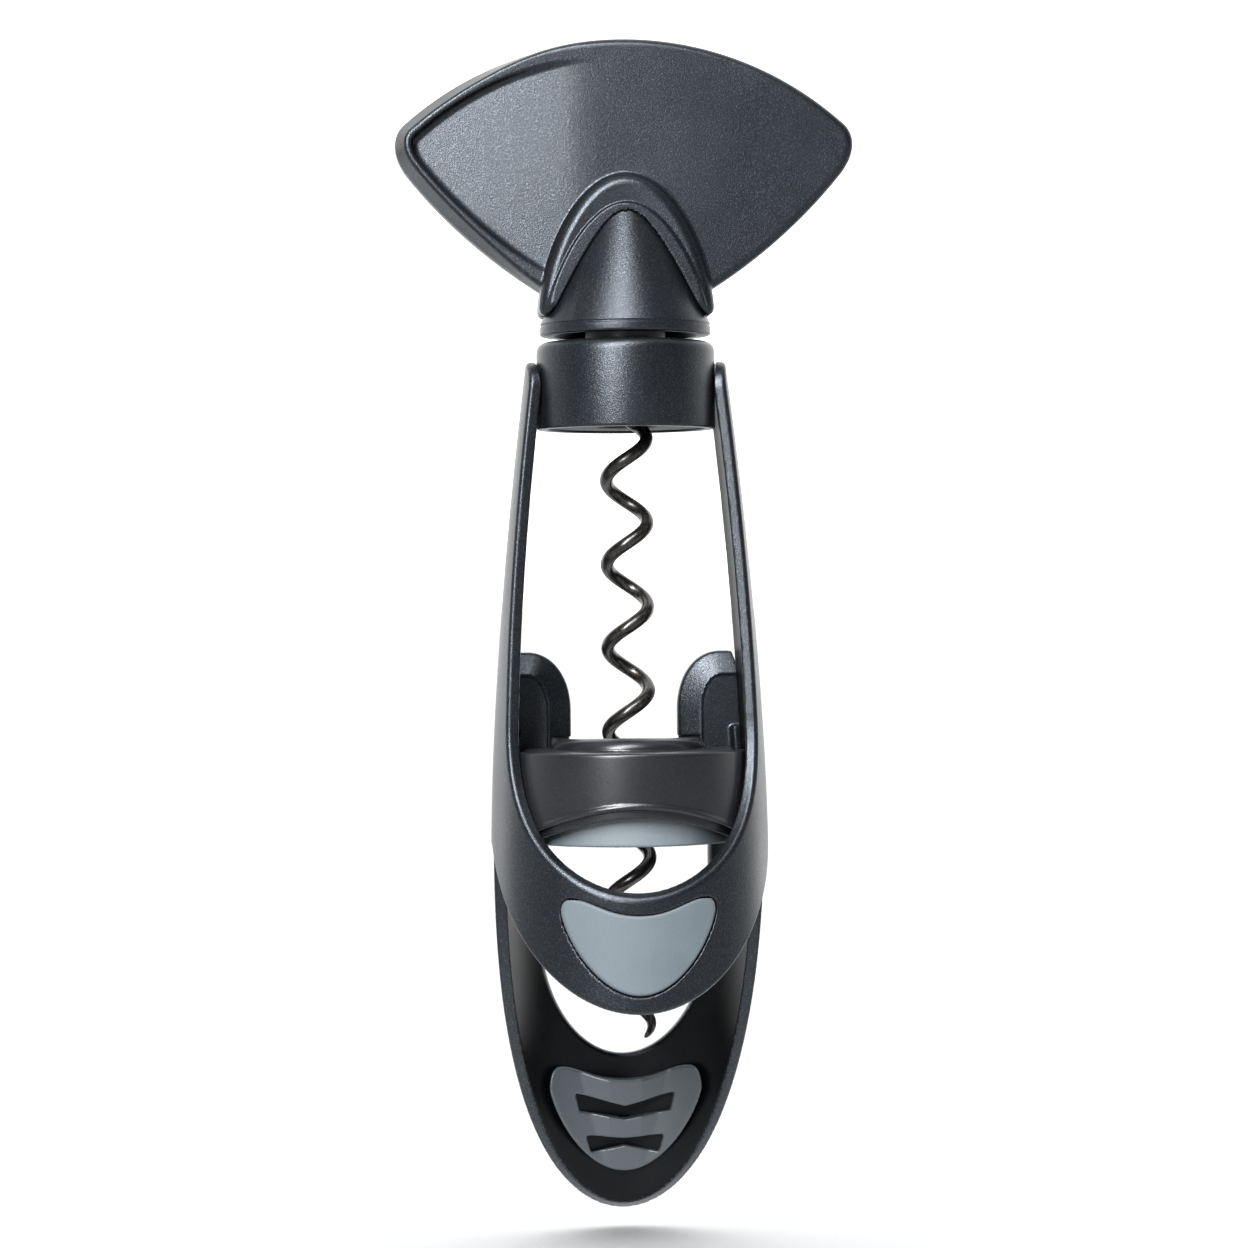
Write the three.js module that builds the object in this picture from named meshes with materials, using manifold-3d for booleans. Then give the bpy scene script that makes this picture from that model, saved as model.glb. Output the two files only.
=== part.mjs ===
// Self-pulling corkscrew with a wing-shaped turning handle, in millimetres, +Z up.
// The origin lies on the worm's axis, in the plane where the bottle's mouth meets the centring ring.
// The user looks along +Y at the front: the fixed jaw is at -Y and the swinging jaw at +Y.

import * as THREE from 'three';
import { mergeVertices } from 'three/addons/utils/BufferGeometryUtils.js';
import Module from 'manifold-3d';

// Clearances
const fit = 0.3;
const swingGap = 0.4;
const slideGap = 0.55;
const overrun = 4;
const weldDistance = 0.0005;

// Facet counts
const barrelSteps = 56;
const barrelRows = 8;
const roundSteps = 36;
const smallSteps = 14;
const curveSteps = 7;

// Mouth of the bottle and the barrel round it, the outline that the frame and the swinging jaw share
const mouthRadius = 14.4;
const seatMargin = 10.6;
const armTopWall = 1.6;
const barrelBendShare = 1.6;
const wall = 2.3;
const jawStep = 0.4;

// Collar at the top of the frame
const collarBottom = 75;
const collarHeight = 15.7;
const collarRadius = 16.1;
const collarCorner = 2.1;
const collarWall = 2.2;
const collarRoof = 2.4;
const collarRoofStep = 1.1;
const bushTubeWall = 1.8;
const floorThickness = 2.2;
const floorInset = 0.4;
const floorEdge = 0.55;

// Frame arms and the fixed front jaw, seen from the side
const armTopDrop = 3.5;
const armTopRound = 5.4;
const armTopHalfDepth = 6.2;
const armFrontDepth = 9.4;
const windowBendHeight = 24;
const sillInset = 2.4;
const sillHeight = -6.1;
const sillRun = 5;
const sillFall = 6.2;
const lipDrop = 28.2;
const armTopShare = 0.6;
const sillDepthShares = [0.04, 0.61];
const sillHeightShares = [0.46, 0.78];

// Hinge of the swinging jaw
const hingeRadius = 8.5;
const notchTurn = THREE.MathUtils.degToRad(10);
const lugRadius = 6.3;
const lugThickness = 2.1;
const pinRadius = 1.5;
const pinSkin = 0.95;
const pinRoot = 1.7;

// Swinging rear jaw
const rearLipDrop = 70.5;
const rearBendShares = [0.347, 0.5];
const rearWindowHalfWidth = 15.7;
const rearWindowGap = 1.7;
const rearWindowWidest = -15;
const rearWindowShares = [0.52, 0.42];
const shoulderTaperTop = 21;
const prongInnerHalf = 9.8;
const prongTop = 34.8;
const prongRound = 8.6;
const prongDepth = 4.3;
const prongBevel = 1.5;
const prongFoot = 11;
const prongClearance = 3.1;
const strapFoot = 4;

// Guide ring with its arched skirt
const deckTop = 17.4;
const deckThickness = 2.2;
const mouthWall = 1.8;
const mouthFoot = 8.4;
const hoopDrop = 0.5;
const domeRadius = 14.2;
const throatRadius = 11.4;
const throatRise = 1.9;
const throatWall = 1.8;
const throatLand = 0.6;
const throatShoulderRadius = 13.3;
const throatShoulderRise = 1.2;
const skirtWall = 2;
const skirtSideFoot = 3.2;
const skirtArchTop = 7.6;
const skirtArchHalf = 18;
const pocketFront = 7.8;
const bossHalfDepth = 3.6;
const bossFoot = 4.5;

// Light centring ring that takes the bottle's mouth
const centringFoot = 0.8;
const centringGap = 1.5;
const centringMouthFlare = 2;
const centringFlange = 3.4;
const centringWall = 2.2;

// Front grip pad, let into the fixed jaw
const frontPadTop = -8;
const frontPadHeight = 16.6;
const frontPadHalfWidth = 13.45;
const frontPadShoulder = 2.3;
const frontPadCorner = 1.6;
const frontPadDip = 2.85;
const frontPadSideInset = 1.25;
const frontPadSideDrop = 6.2;
const frontPadTipHalf = 6.5;
const frontPadReach = 3.6;
const padLedge = 1.4;
const padTrap = 1.1;
const padNeck = 0.55;

// Rear grip pad, ribbed and faceted
const rearPadRise = 28.3;
const rearPadHeight = 20;
const rearPadHalfWidth = 14.1;
const rearPadShoulder = 4.2;
const rearPadCorner = 2;
const rearPadDip = 2.8;
const rearPadSideInset = 1.2;
const rearPadSideDrop = 5.6;
const rearPadTipHalf = 7.4;
const rearPadThickness = 5;
const rearPadBorder = 1.3;
const rearPadLeanShare = 0.18;
const facetHalf = 3.05;
const facetSlopeShare = 0.24;
const slotTopHalves = [9.2, 7.2];
const slotFootHalves = [8.4, 6.3];
const slotDrops = [5.2, 13.2];
const slotHeights = [3.4, 3.2];
const slotTopBows = [2.6, 0.8];
const slotFootBows = [1.2, -1.6];
const padPegRadius = 1.6;
const padPegDrop = 11.4;
const padPegSkin = 0.8;
const padPegLength = 4.6;
const padSetback = 0.7;

// Both pads' dipped top edge
const padDipShares = [0.45, 0.62];

// Worm
const wireRadius = 1.2;
const coilRadius = 3.65;
const wormPitch = 15.12;
const wormTipHeight = -34.5;
const wormRightHeight = -32.3;
const tipLength = 5;
const tipRadius = 0.18;
const bendLength = 8.4;
const shankDepth = 11;
const turnSteps = 12;
const wireSides = 7;

// Bush, washer, clip and spindle that carry the worm
const bushRadius = 7.2;
const bushFlangeRadius = 10.2;
const bushFlangeHeight = 1.6;
const bushRise = 4.3;
const bushBoreLength = 9;
const spindleRadius = 4.2;
const spindleTail = 1.8;
const spindleRise = 12.2;
const clipRadius = 5.1;
const clipThickness = 0.9;
const grooveDepth = 0.8;
const clipMouthHalf = 2;
const washerThickness = 1;
const crossPinRadius = 1.1;
const crossPinRise = 6;

// Hub cone under the handle
const hubGap = 1.2;
const hubRadius = 15.4;
const hubBandHeight = 1.5;
const hubGrooveDepth = 0.4;
const hubGrooveHeight = 0.7;
const hubHeight = 23.1;
const hubTopRadius = 6;
const hubTopEdge = 0.6;
const hubCavityRadius = 13;
const hubCavityTopRadius = 11;
const keyThickness = 1.2;
const keyReach = 16;
const keyRise = 11.1;
const keyHeight = 6;

// Wing handle
const wingHeight = 53;
const wingCrownRise = 17.1;
const wingTipHalf = 41.7;
const wingTipDrop = 20.3;
const wingTipRound = 5.6;
const wingFootHalf = 15.5;
const wingFootRise = 8.1;
const wingFlankBow = 1.9;
const wingThickness = 10;
const wingEdge = 1.4;
const rimWidth = 2.3;
const scoopDepth = 2.5;
const scoopStart = 8;
const tipCrownShare = 0.55;
const tipFlankShares = [0.5, 0.75];
const tipPullShares = [0.4, 0.12, 0.1];

// Arched sleeve over the hub cone, which slopes from the blade's face out to a smaller rim
const sleeveHalfDepth = 7;
const sleeveRimLand = 0.4;
const sleeveRimInset = 1.4;
const sleeveRimDrop = 5.4;
const sleeveCover = 0.3;
const sleeveRise = 3.3;
const sleeveCrown = 5.8;
const sleeveShares = [0.97, 0.33, 0.6];
const sleeveRimShares = [0.86, 0.42, 0.46];
const sleeveFootRound = 1.6;

// Sizes that follow from the ones above
const collarTop = collarBottom + collarHeight;
const armTop = collarTop - armTopDrop;
const seatRadius = mouthRadius + seatMargin;
const shoulderInset = seatRadius - collarRadius - fit - armTopWall;
const sillDepth = seatRadius - sillInset;
const hingePoint = { y: 0, z: hingeRadius };
const prongFront = hingeRadius + swingGap + fit;
const prongBack = prongFront + prongDepth;
const lugOuter = barrelRadius(hingePoint.z + lugRadius) - wall - swingGap - fit;
const lugInner = lugOuter - lugThickness;
const deckSideRadius = lugInner - swingGap;
const hoopRadius = mouthRadius + mouthWall;
const centringRadius = seatRadius - wall - fit - skirtWall - centringGap;
const rearPadTop = rearPadRise - rearLipDrop;
const rearWindowBottom = rearPadTop + rearWindowGap;
const bushFoot = collarBottom + floorInset + floorThickness + fit;
const bushTop = collarTop + bushRise;
const bushBoreRadius = spindleRadius + fit;
const counterboreTop = bushTop - bushBoreLength;
const counterboreRadius = coilRadius + wireRadius + slideGap;
const floorHoleRadius = coilRadius + wireRadius + slideGap;
const spindleFoot = counterboreTop - spindleTail;
const spindleTop = bushTop + spindleRise;
const crossPinHeight = bushTop + crossPinRise;
const hubBottom = collarTop + hubGap;
const hubTop = hubBottom + hubHeight;
const keyFoot = hubBottom + keyRise;
const wingTop = hubBottom + wingHeight;
const wingTopRadius = (wingTipHalf ** 2 + wingCrownRise ** 2) / (2 * wingCrownRise);
const wingTipHeight = wingTop - wingTipDrop;
const wingFootHeight = hubBottom + wingFootRise;
const sleeveFoot = hubBottom + sleeveRise;
const sleeveTop = hubTop + sleeveCrown;
const sleeveHalfWidth = hubRadius + sleeveCover;

const wasm = await Module();
wasm.setup();

/** Blend from one size to another by a share. */
function between(from, to, share) {
  return from + (to - from) * share;
}

/** Turn a closed geometry into a solid that can be cut and joined. */
function solidOf(geometry) {
  const bare = geometry.index ? geometry.clone() : geometry;
  for (const name of Object.keys(bare.attributes)) {
    if (name !== 'position') bare.deleteAttribute(name);
  }
  const welded = mergeVertices(bare, weldDistance);
  const places = Float32Array.from(welded.attributes.position.array);
  const index = welded.index.array;
  const corners = [];
  for (let i = 0; i < index.length; i += 3) {
    const [a, b, c] = [index[i], index[i + 1], index[i + 2]];
    if (a !== b && b !== c && c !== a) corners.push(a, b, c);
  }
  const turned = signedVolume(places, corners) < 0 ? corners.reverse() : corners;
  const mesh = new wasm.Mesh({
    numProp: 3,
    vertProperties: places,
    triVerts: Uint32Array.from(turned),
  });
  return new wasm.Manifold(mesh);
}

/** Volume of an indexed mesh, negative when its faces point inwards. */
function signedVolume(places, corners) {
  const [a, b, c] = [new THREE.Vector3(), new THREE.Vector3(), new THREE.Vector3()];
  let total = 0;
  for (let i = 0; i < corners.length; i += 3) {
    a.fromArray(places, corners[i] * 3);
    b.fromArray(places, corners[i + 1] * 3);
    c.fromArray(places, corners[i + 2] * 3);
    total += a.dot(b.cross(c));
  }
  return total;
}

/** Join several solids into one. */
function join(...solids) {
  return solids.reduce((whole, next) => whole.add(next));
}

/** Cut several solids out of one. */
function cut(body, ...tools) {
  return tools.reduce((whole, next) => whole.subtract(next), body);
}

/** A body of revolution about Z. The profile holds [radius, height] pairs. */
function revolve(profile, steps = roundSteps) {
  const points = profile.map(([radius, height]) => new THREE.Vector2(radius, height));
  const onAxis = profile[0][0] === 0;
  if (!onAxis) points.push(points[0].clone());
  return solidOf(new THREE.LatheGeometry(points, steps).rotateX(Math.PI / 2));
}

/** A plain round bar about Z. */
function bar(radius, bottom, top, steps = roundSteps) {
  return revolve([[0, bottom], [radius, bottom], [radius, top], [0, top]], steps);
}

/** A plain tube about Z. */
function tube(inner, outer, bottom, top, steps = roundSteps) {
  return revolve([[inner, bottom], [outer, bottom], [outer, top], [inner, top]], steps);
}

/** A block between two corners. */
function block(x0, x1, y0, y1, z0, z1) {
  const box = new THREE.BoxGeometry(x1 - x0, y1 - y0, z1 - z0);
  return solidOf(box.translate((x0 + x1) / 2, (y0 + y1) / 2, (z0 + z1) / 2));
}

/** An outline drawn in [y, z], pushed through from one x to another. */
function sidePrism(shape, fromX, toX) {
  const geometry = new THREE.ExtrudeGeometry(shape, extrusion(toX - fromX));
  const turn = new THREE.Matrix4().makeBasis(
    new THREE.Vector3(0, 1, 0),
    new THREE.Vector3(0, 0, 1),
    new THREE.Vector3(1, 0, 0),
  );
  return solidOf(geometry.applyMatrix4(turn).translate(fromX, 0, 0));
}

/** An outline drawn in [x, z], pushed through from one y to another, with an optional bevel. */
function frontPrism(shape, fromY, toY, edge = 0) {
  const geometry = new THREE.ExtrudeGeometry(shape, extrusion(toY - fromY, edge));
  return solidOf(geometry.rotateX(Math.PI / 2).translate(0, toY, 0));
}

/** Extrusion settings for a depth, keeping any bevel inside the outline and the depth. */
function extrusion(depth, edge = 0) {
  if (edge === 0) return { depth, bevelEnabled: false, curveSegments: curveSteps };
  return {
    depth: depth - 2 * edge,
    bevelEnabled: true,
    bevelSize: edge,
    bevelThickness: edge,
    bevelOffset: -edge,
    bevelSegments: 2,
    curveSegments: curveSteps,
  };
}

/** A frontPrism with a bevel starts one bevel behind its back face. */
function bevelledFrontPrism(shape, fromY, toY, edge) {
  return frontPrism(shape, fromY, toY, edge).translate([0, -edge, 0]);
}

/** A bar along X, centred at the given depth and height. */
function crossBar(radius, fromX, toX, y, z, steps = smallSteps) {
  const geometry = new THREE.CylinderGeometry(radius, radius, toX - fromX, steps);
  return solidOf(geometry.rotateZ(Math.PI / 2).translate((fromX + toX) / 2, y, z));
}

/** Radius of the barrel's skin at a height: upright at the seat and drawn in towards the collar. */
function barrelRadius(height) {
  const share = Math.max(height, 0) / armTop;
  return seatRadius - shoulderInset * share ** barrelBendShare;
}

/** The barrel as a solid of revolution, drawn in by an inset all over. */
function barrel(inset, bottom, top) {
  const profile = [[0, bottom], [barrelRadius(bottom) - inset, bottom]];
  const lowest = Math.max(bottom, 0);
  for (let row = 0; row <= barrelRows; row += 1) {
    const height = between(lowest, top, row / barrelRows);
    if (height > bottom) profile.push([barrelRadius(height) - inset, height]);
  }
  profile.push([0, top]);
  return revolve(profile, barrelSteps);
}

/** A hollow barrel between two insets. */
function barrelShell(outerInset, innerInset, bottom, top) {
  return cut(barrel(outerInset, bottom, top), barrel(innerInset, bottom - overrun, top + overrun));
}

/** Side outline of the frame: two arms, the window's bend and the band of the front jaw. */
function frameOutline() {
  const far = seatRadius + overrun;
  const notchY = -hingeRadius * Math.sin(notchTurn);
  const notchZ = hingePoint.z - hingeRadius * Math.cos(notchTurn);
  const lipSlope = (notchZ + lipDrop) / (seatRadius + notchY);
  const shoulder = armTop - armTopRound;
  const bulge = between(shoulder, armTop, armTopShare);
  const crownHalf = armTopHalfDepth * armTopShare;
  const outline = new THREE.Shape();
  outline.moveTo(-armTopHalfDepth, shoulder);
  outline.lineTo(-armFrontDepth, windowBendHeight);
  outline.bezierCurveTo(
    -between(armFrontDepth, sillDepth, sillDepthShares[0]),
    between(windowBendHeight, sillHeight, sillHeightShares[0]),
    -between(armFrontDepth, sillDepth, sillDepthShares[1]),
    between(windowBendHeight, sillHeight, sillHeightShares[1]),
    -sillDepth, sillHeight,
  );
  outline.lineTo(-sillDepth - sillRun, sillHeight - sillFall);
  outline.lineTo(-far, -lipDrop - lipSlope * overrun);
  outline.lineTo(notchY, notchZ);
  outline.absarc(hingePoint.y, hingePoint.z, hingeRadius, -Math.PI / 2 - notchTurn, 0, false);
  outline.lineTo(armTopHalfDepth, shoulder);
  outline.bezierCurveTo(armTopHalfDepth, bulge, crownHalf, armTop, 0, armTop);
  outline.bezierCurveTo(-crownHalf, armTop, -armTopHalfDepth, bulge, -armTopHalfDepth, shoulder);
  return outline;
}

/** Shield outline of a grip pad: a dipped top edge and convex sides that meet in a round tip. */
function shieldOutline(pad, grow = 0) {
  const half = pad.halfWidth + grow;
  const top = pad.top + grow;
  const bottom = pad.top - pad.height - grow;
  const dip = top - pad.dip;
  const widest = pad.top - pad.shoulder;
  const cornerHalf = pad.halfWidth - pad.corner;
  const sideHalf = half - pad.sideInset;
  const sideHeight = widest - pad.sideDrop;
  const [dipShare, riseShare] = padDipShares;
  const outline = new THREE.Shape();
  outline.moveTo(0, dip);
  outline.bezierCurveTo(half * dipShare, dip, half * riseShare, top, cornerHalf, top);
  outline.quadraticCurveTo(half, top, half, widest);
  outline.bezierCurveTo(sideHalf, sideHeight, pad.tipHalf, bottom, 0, bottom);
  outline.bezierCurveTo(-pad.tipHalf, bottom, -sideHalf, sideHeight, -half, widest);
  outline.quadraticCurveTo(-half, top, -cornerHalf, top);
  outline.bezierCurveTo(-half * riseShare, top, -half * dipShare, dip, 0, dip);
  return outline;
}

const frontPad = {
  top: frontPadTop,
  height: frontPadHeight,
  halfWidth: frontPadHalfWidth,
  shoulder: frontPadShoulder,
  corner: frontPadCorner,
  dip: frontPadDip,
  sideInset: frontPadSideInset,
  sideDrop: frontPadSideDrop,
  tipHalf: frontPadTipHalf,
};

const rearPad = {
  top: rearPadTop,
  height: rearPadHeight,
  halfWidth: rearPadHalfWidth,
  shoulder: rearPadShoulder,
  corner: rearPadCorner,
  dip: rearPadDip,
  sideInset: rearPadSideInset,
  sideDrop: rearPadSideDrop,
  tipHalf: rearPadTipHalf,
};

/** Arms and front jaw in one moulding, with the pad's window and the blind hinge holes. */
function makeFrame() {
  const far = seatRadius + overrun;
  const shell = barrelShell(0, wall, -lipDrop - overrun, armTop + overrun);
  const body = shell.intersect(sidePrism(frameOutline(), -far, far));
  const padHole = frontPrism(shieldOutline(frontPad, fit - padLedge), -far, -mouthRadius);
  const padRecess = frontPrism(shieldOutline(frontPad, fit), -far, 0)
    .subtract(barrel(padTrap + fit, -lipDrop - overrun, 0));
  const pinEnd = barrelRadius(hingePoint.z) - pinSkin;
  const pinHoles = crossBar(pinRadius + fit, -pinEnd, pinEnd, hingePoint.y, hingePoint.z);
  const collarRoom = bar(collarRadius + fit, collarBottom - fit, armTop + overrun);
  return cut(body, padHole, padRecess, pinHoles, collarRoom);
}

/** Collar: a cap with an inner tube that guides the bush. */
function makeCollar() {
  const tubeInner = bushRadius + fit;
  const tubeOuter = tubeInner + bushTubeWall;
  const skinInner = collarRadius - collarWall;
  const seat = collarBottom + floorInset + floorThickness + fit;
  const roof = collarTop - collarRoof;
  const softCorner = collarCorner * (1 - Math.SQRT1_2);
  return revolve([
    [skinInner + fit, collarBottom],
    [collarRadius - fit, collarBottom],
    [collarRadius, collarBottom + fit],
    [collarRadius, collarTop - collarCorner],
    [collarRadius - softCorner, collarTop - softCorner],
    [collarRadius - collarCorner, collarTop],
    [tubeInner + fit, collarTop],
    [tubeInner, collarTop - fit],
    [tubeInner, seat],
    [tubeOuter, seat],
    [tubeOuter, roof],
    [skinInner - collarRoofStep, roof],
    [skinInner - collarRoofStep, seat],
    [skinInner + fit, seat],
  ]);
}

/** Floor of the collar, with the round hole that the worm runs through. */
function makeCollarFloor() {
  const bottom = collarBottom + floorInset;
  const outer = collarRadius - collarWall;
  return revolve([
    [floorHoleRadius + floorEdge, bottom],
    [outer - floorEdge, bottom],
    [outer, bottom + floorEdge],
    [outer, bottom + floorThickness],
    [floorHoleRadius, bottom + floorThickness],
    [floorHoleRadius, bottom + floorEdge],
  ]);
}

/** Deck, inner hoop, domed throat and arched skirt of the ring that guides the bottle's mouth. */
function makeGuideRing() {
  const far = seatRadius + overrun;
  const inset = wall + fit;
  const throatTop = deckTop + throatRise;
  const throatFoot = deckTop - deckThickness;
  const skin = barrel(inset, 0, deckTop);
  const skirt = skin.subtract(barrel(inset + skirtWall, -overrun, deckTop + overrun));
  const deck = skin.intersect(block(-far, far, -far, far, throatFoot, deckTop + overrun));
  const hoop = bar(hoopRadius, mouthFoot, deckTop - hoopDrop);
  const dome = revolve([
    [0, deckTop - deckThickness / 2],
    [domeRadius, deckTop - deckThickness / 2],
    [domeRadius, deckTop],
    [throatShoulderRadius, deckTop + throatShoulderRise],
    [throatRadius + throatLand, throatTop],
    [0, throatTop],
  ]);
  const arch = new THREE.Shape();
  arch.moveTo(-far, -overrun);
  arch.lineTo(-far, skirtSideFoot);
  arch.lineTo(-skirtArchHalf, skirtSideFoot);
  arch.quadraticCurveTo(0, 2 * skirtArchTop - skirtSideFoot, skirtArchHalf, skirtSideFoot);
  arch.lineTo(far, skirtSideFoot);
  arch.lineTo(far, -overrun);
  const frontPart = join(skirt.subtract(frontPrism(arch, -far, far)), deck);
  const pocket = block(-far, far, -pocketFront, far, -overrun, deckTop + overrun);
  const sides = pocket.subtract(bar(deckSideRadius, -overrun, deckTop + overrun));
  const rear = block(-far, far, hingeRadius + fit, far, -overrun, deckTop + overrun);
  const bosses = block(-far, far, -bossHalfDepth, bossHalfDepth, mouthFoot, deckTop - fit)
    .intersect(bar(deckSideRadius, mouthFoot, deckTop));
  const outerParts = cut(join(frontPart, bosses), sides, rear);
  const bore = revolve([
    [0, -overrun],
    [mouthRadius, -overrun],
    [mouthRadius, throatFoot],
    [throatRadius, throatTop - throatWall],
    [throatRadius, throatTop + overrun],
    [0, throatTop + overrun],
  ]);
  const whole = join(outerParts, hoop, dome).subtract(bore);
  const bossInner = mouthRadius + centringWall + fit;
  const lowBosses = block(-far, far, -bossHalfDepth, bossHalfDepth, bossFoot, mouthFoot + fit)
    .intersect(tube(bossInner, deckSideRadius, bossFoot, mouthFoot + fit));
  const pinHoles = crossBar(pinRadius + fit, -far, far, hingePoint.y, hingePoint.z)
    .subtract(block(-pinStart() + fit, pinStart() - fit, -far, far, 0, far));
  return cut(join(whole, lowBosses), pinHoles);
}

/** Distance from the axis at which each hinge pin starts. */
function pinStart() {
  return deckSideRadius - pinRoot;
}

/** Light ring below the deck, flared to centre the bottle's mouth. */
function makeCentringRing() {
  const top = mouthFoot - fit;
  const shelf = centringFoot + centringFlange;
  return revolve([
    [mouthRadius, top],
    [mouthRadius + centringMouthFlare, centringFoot],
    [centringRadius - fit, centringFoot],
    [centringRadius, centringFoot + fit],
    [centringRadius, shelf],
    [mouthRadius + centringWall, shelf],
    [mouthRadius + centringWall, top],
  ]);
}

/** Steel pin of the rear jaw's hinge, on the side given by its sign. */
function makeHingePin(side) {
  const end = barrelRadius(hingePoint.z) - pinSkin - fit;
  const pin = crossBar(pinRadius, pinStart(), end, hingePoint.y, hingePoint.z);
  return side > 0 ? pin : pin.mirror([1, 0, 0]);
}

/** Side outline of the rear jaw's skin: round the hinge, down the open edge, and back over. */
function jawOutline() {
  const far = seatRadius + overrun;
  const nearRadius = hingeRadius + swingGap;
  const outline = new THREE.Shape();
  outline.moveTo(hingePoint.y, hingePoint.z - nearRadius);
  outline.quadraticCurveTo(
    seatRadius * rearBendShares[0], -rearLipDrop * rearBendShares[1],
    seatRadius, -rearLipDrop,
  );
  outline.lineTo(far, -rearLipDrop - 2 * overrun);
  outline.lineTo(far, -fit);
  outline.lineTo(prongBack, shoulderTaperTop);
  outline.lineTo(prongFront, shoulderTaperTop);
  outline.lineTo(nearRadius, hingePoint.z);
  outline.absarc(hingePoint.y, hingePoint.z, nearRadius, 0, -Math.PI / 2, true);
  return outline;
}

/** Front outline of the rear jaw's window, open at its top. */
function rearWindowOutline() {
  const half = rearWindowHalfWidth;
  const low = rearWindowBottom;
  const wide = rearWindowWidest;
  const [flatShare, kneeShare] = rearWindowShares;
  const knee = between(low, wide, kneeShare);
  const outline = new THREE.Shape();
  outline.moveTo(0, low);
  outline.bezierCurveTo(half * flatShare, low, half, knee, half, wide);
  outline.lineTo(half, prongTop + overrun);
  outline.lineTo(-half, prongTop + overrun);
  outline.lineTo(-half, wide);
  outline.bezierCurveTo(-half, knee, -half * flatShare, low, 0, low);
  return outline;
}

/** Front outline of one prong: a tab with one round shoulder, running out past the skin. */
function prongOutline() {
  const far = seatRadius + overrun;
  const outline = new THREE.Shape();
  outline.moveTo(prongInnerHalf, prongFoot);
  outline.lineTo(far, prongFoot);
  outline.lineTo(far, prongTop);
  outline.lineTo(prongInnerHalf + prongRound, prongTop);
  outline.quadraticCurveTo(prongInnerHalf, prongTop, prongInnerHalf, prongTop - prongRound);
  return outline;
}

/** Side outline of a hinge lug and the strap that carries it. */
function lugOutline() {
  const outline = new THREE.Shape();
  outline.moveTo(prongBack, strapFoot);
  outline.lineTo(prongBack, hingePoint.z + lugRadius);
  outline.lineTo(hingePoint.y, hingePoint.z + lugRadius);
  outline.absarc(hingePoint.y, hingePoint.z, lugRadius, Math.PI / 2, -Math.PI / 2, false);
  outline.lineTo(hingePoint.y + lugRadius / 2, strapFoot);
  return outline;
}

/** Rear jaw: half shell with a window, two hinge lugs and two prongs above them. */
function makeRearJaw() {
  const far = seatRadius + overrun;
  const bottom = -rearLipDrop - overrun;
  const skinInset = jawStep;
  const innerInset = jawStep + wall;
  const skin = barrelShell(skinInset, innerInset, bottom, prongTop + overrun)
    .intersect(sidePrism(jawOutline(), -far, far))
    .subtract(frontPrism(rearWindowOutline(), 0, far));
  const envelope = barrel(skinInset, bottom, prongTop + overrun);
  const prong = bevelledFrontPrism(prongOutline(), prongFront, prongBack, prongBevel);
  const prongs = join(prong, prong.mirror([1, 0, 0]))
    .intersect(envelope)
    .subtract(bar(hoopRadius + swingGap, 0, deckTop + prongClearance));
  const lugSide = sidePrism(lugOutline(), -far, far);
  const lugs = tube(lugInner, lugOuter, 0, prongTop, barrelSteps).intersect(lugSide);
  const webFill = block(-far, far, prongFront, prongBack, strapFoot, prongTop - prongRound)
    .intersect(envelope)
    .subtract(bar(lugInner, 0, prongTop));
  const body = join(skin, prongs, lugs, webFill);
  const pinHoles = crossBar(pinRadius + fit, -far, far, hingePoint.y, hingePoint.z);
  const pegHole = padPeg(padPegRadius + fit, fit);
  return cut(body, pinHoles, pegHole);
}

/** Peg that locates the rear pad in the jaw's wall. */
function padPeg(radius, grow) {
  const geometry = new THREE.CylinderGeometry(radius, radius, padPegLength, smallSteps);
  const end = seatRadius - jawStep - padPegSkin + grow;
  return solidOf(geometry.translate(0, end - padPegLength / 2, rearPadTop - padPegDrop));
}

/** Block with a flat middle facet and two sloped ones that face the neck, leaning back downwards. */
function padFacets() {
  const far = seatRadius + overrun;
  const front = seatRadius - jawStep - wall - fit - rearPadThickness;
  const flank = front + facetSlopeShare * (far - facetHalf);
  const bottom = rearPadTop - rearPadHeight - overrun;
  const outline = new THREE.Shape();
  outline.moveTo(-far, 2 * far);
  outline.lineTo(-far, flank);
  outline.lineTo(-facetHalf, front);
  outline.lineTo(facetHalf, front);
  outline.lineTo(far, flank);
  outline.lineTo(far, 2 * far);
  const geometry = new THREE.ExtrudeGeometry(outline, extrusion(rearPadTop + overrun - bottom));
  const lean = new THREE.Matrix4().set(
    1, 0, 0, 0,
    0, 1, -rearPadLeanShare, rearPadLeanShare * rearPadTop,
    0, 0, 1, 0,
    0, 0, 0, 1,
  );
  return solidOf(geometry.translate(0, 0, bottom).applyMatrix4(lean));
}

/** One slot across the rear pad, with its top and foot bowed. */
function padSlot(row) {
  const top = rearPadTop - slotDrops[row];
  const foot = top - slotHeights[row];
  const outline = new THREE.Shape();
  outline.moveTo(-slotTopHalves[row], top);
  outline.lineTo(0, top - slotTopBows[row]);
  outline.lineTo(slotTopHalves[row], top);
  outline.lineTo(slotFootHalves[row], foot);
  outline.lineTo(0, foot - slotFootBows[row]);
  outline.lineTo(-slotFootHalves[row], foot);
  return frontPrism(outline, 0, seatRadius);
}

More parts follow.
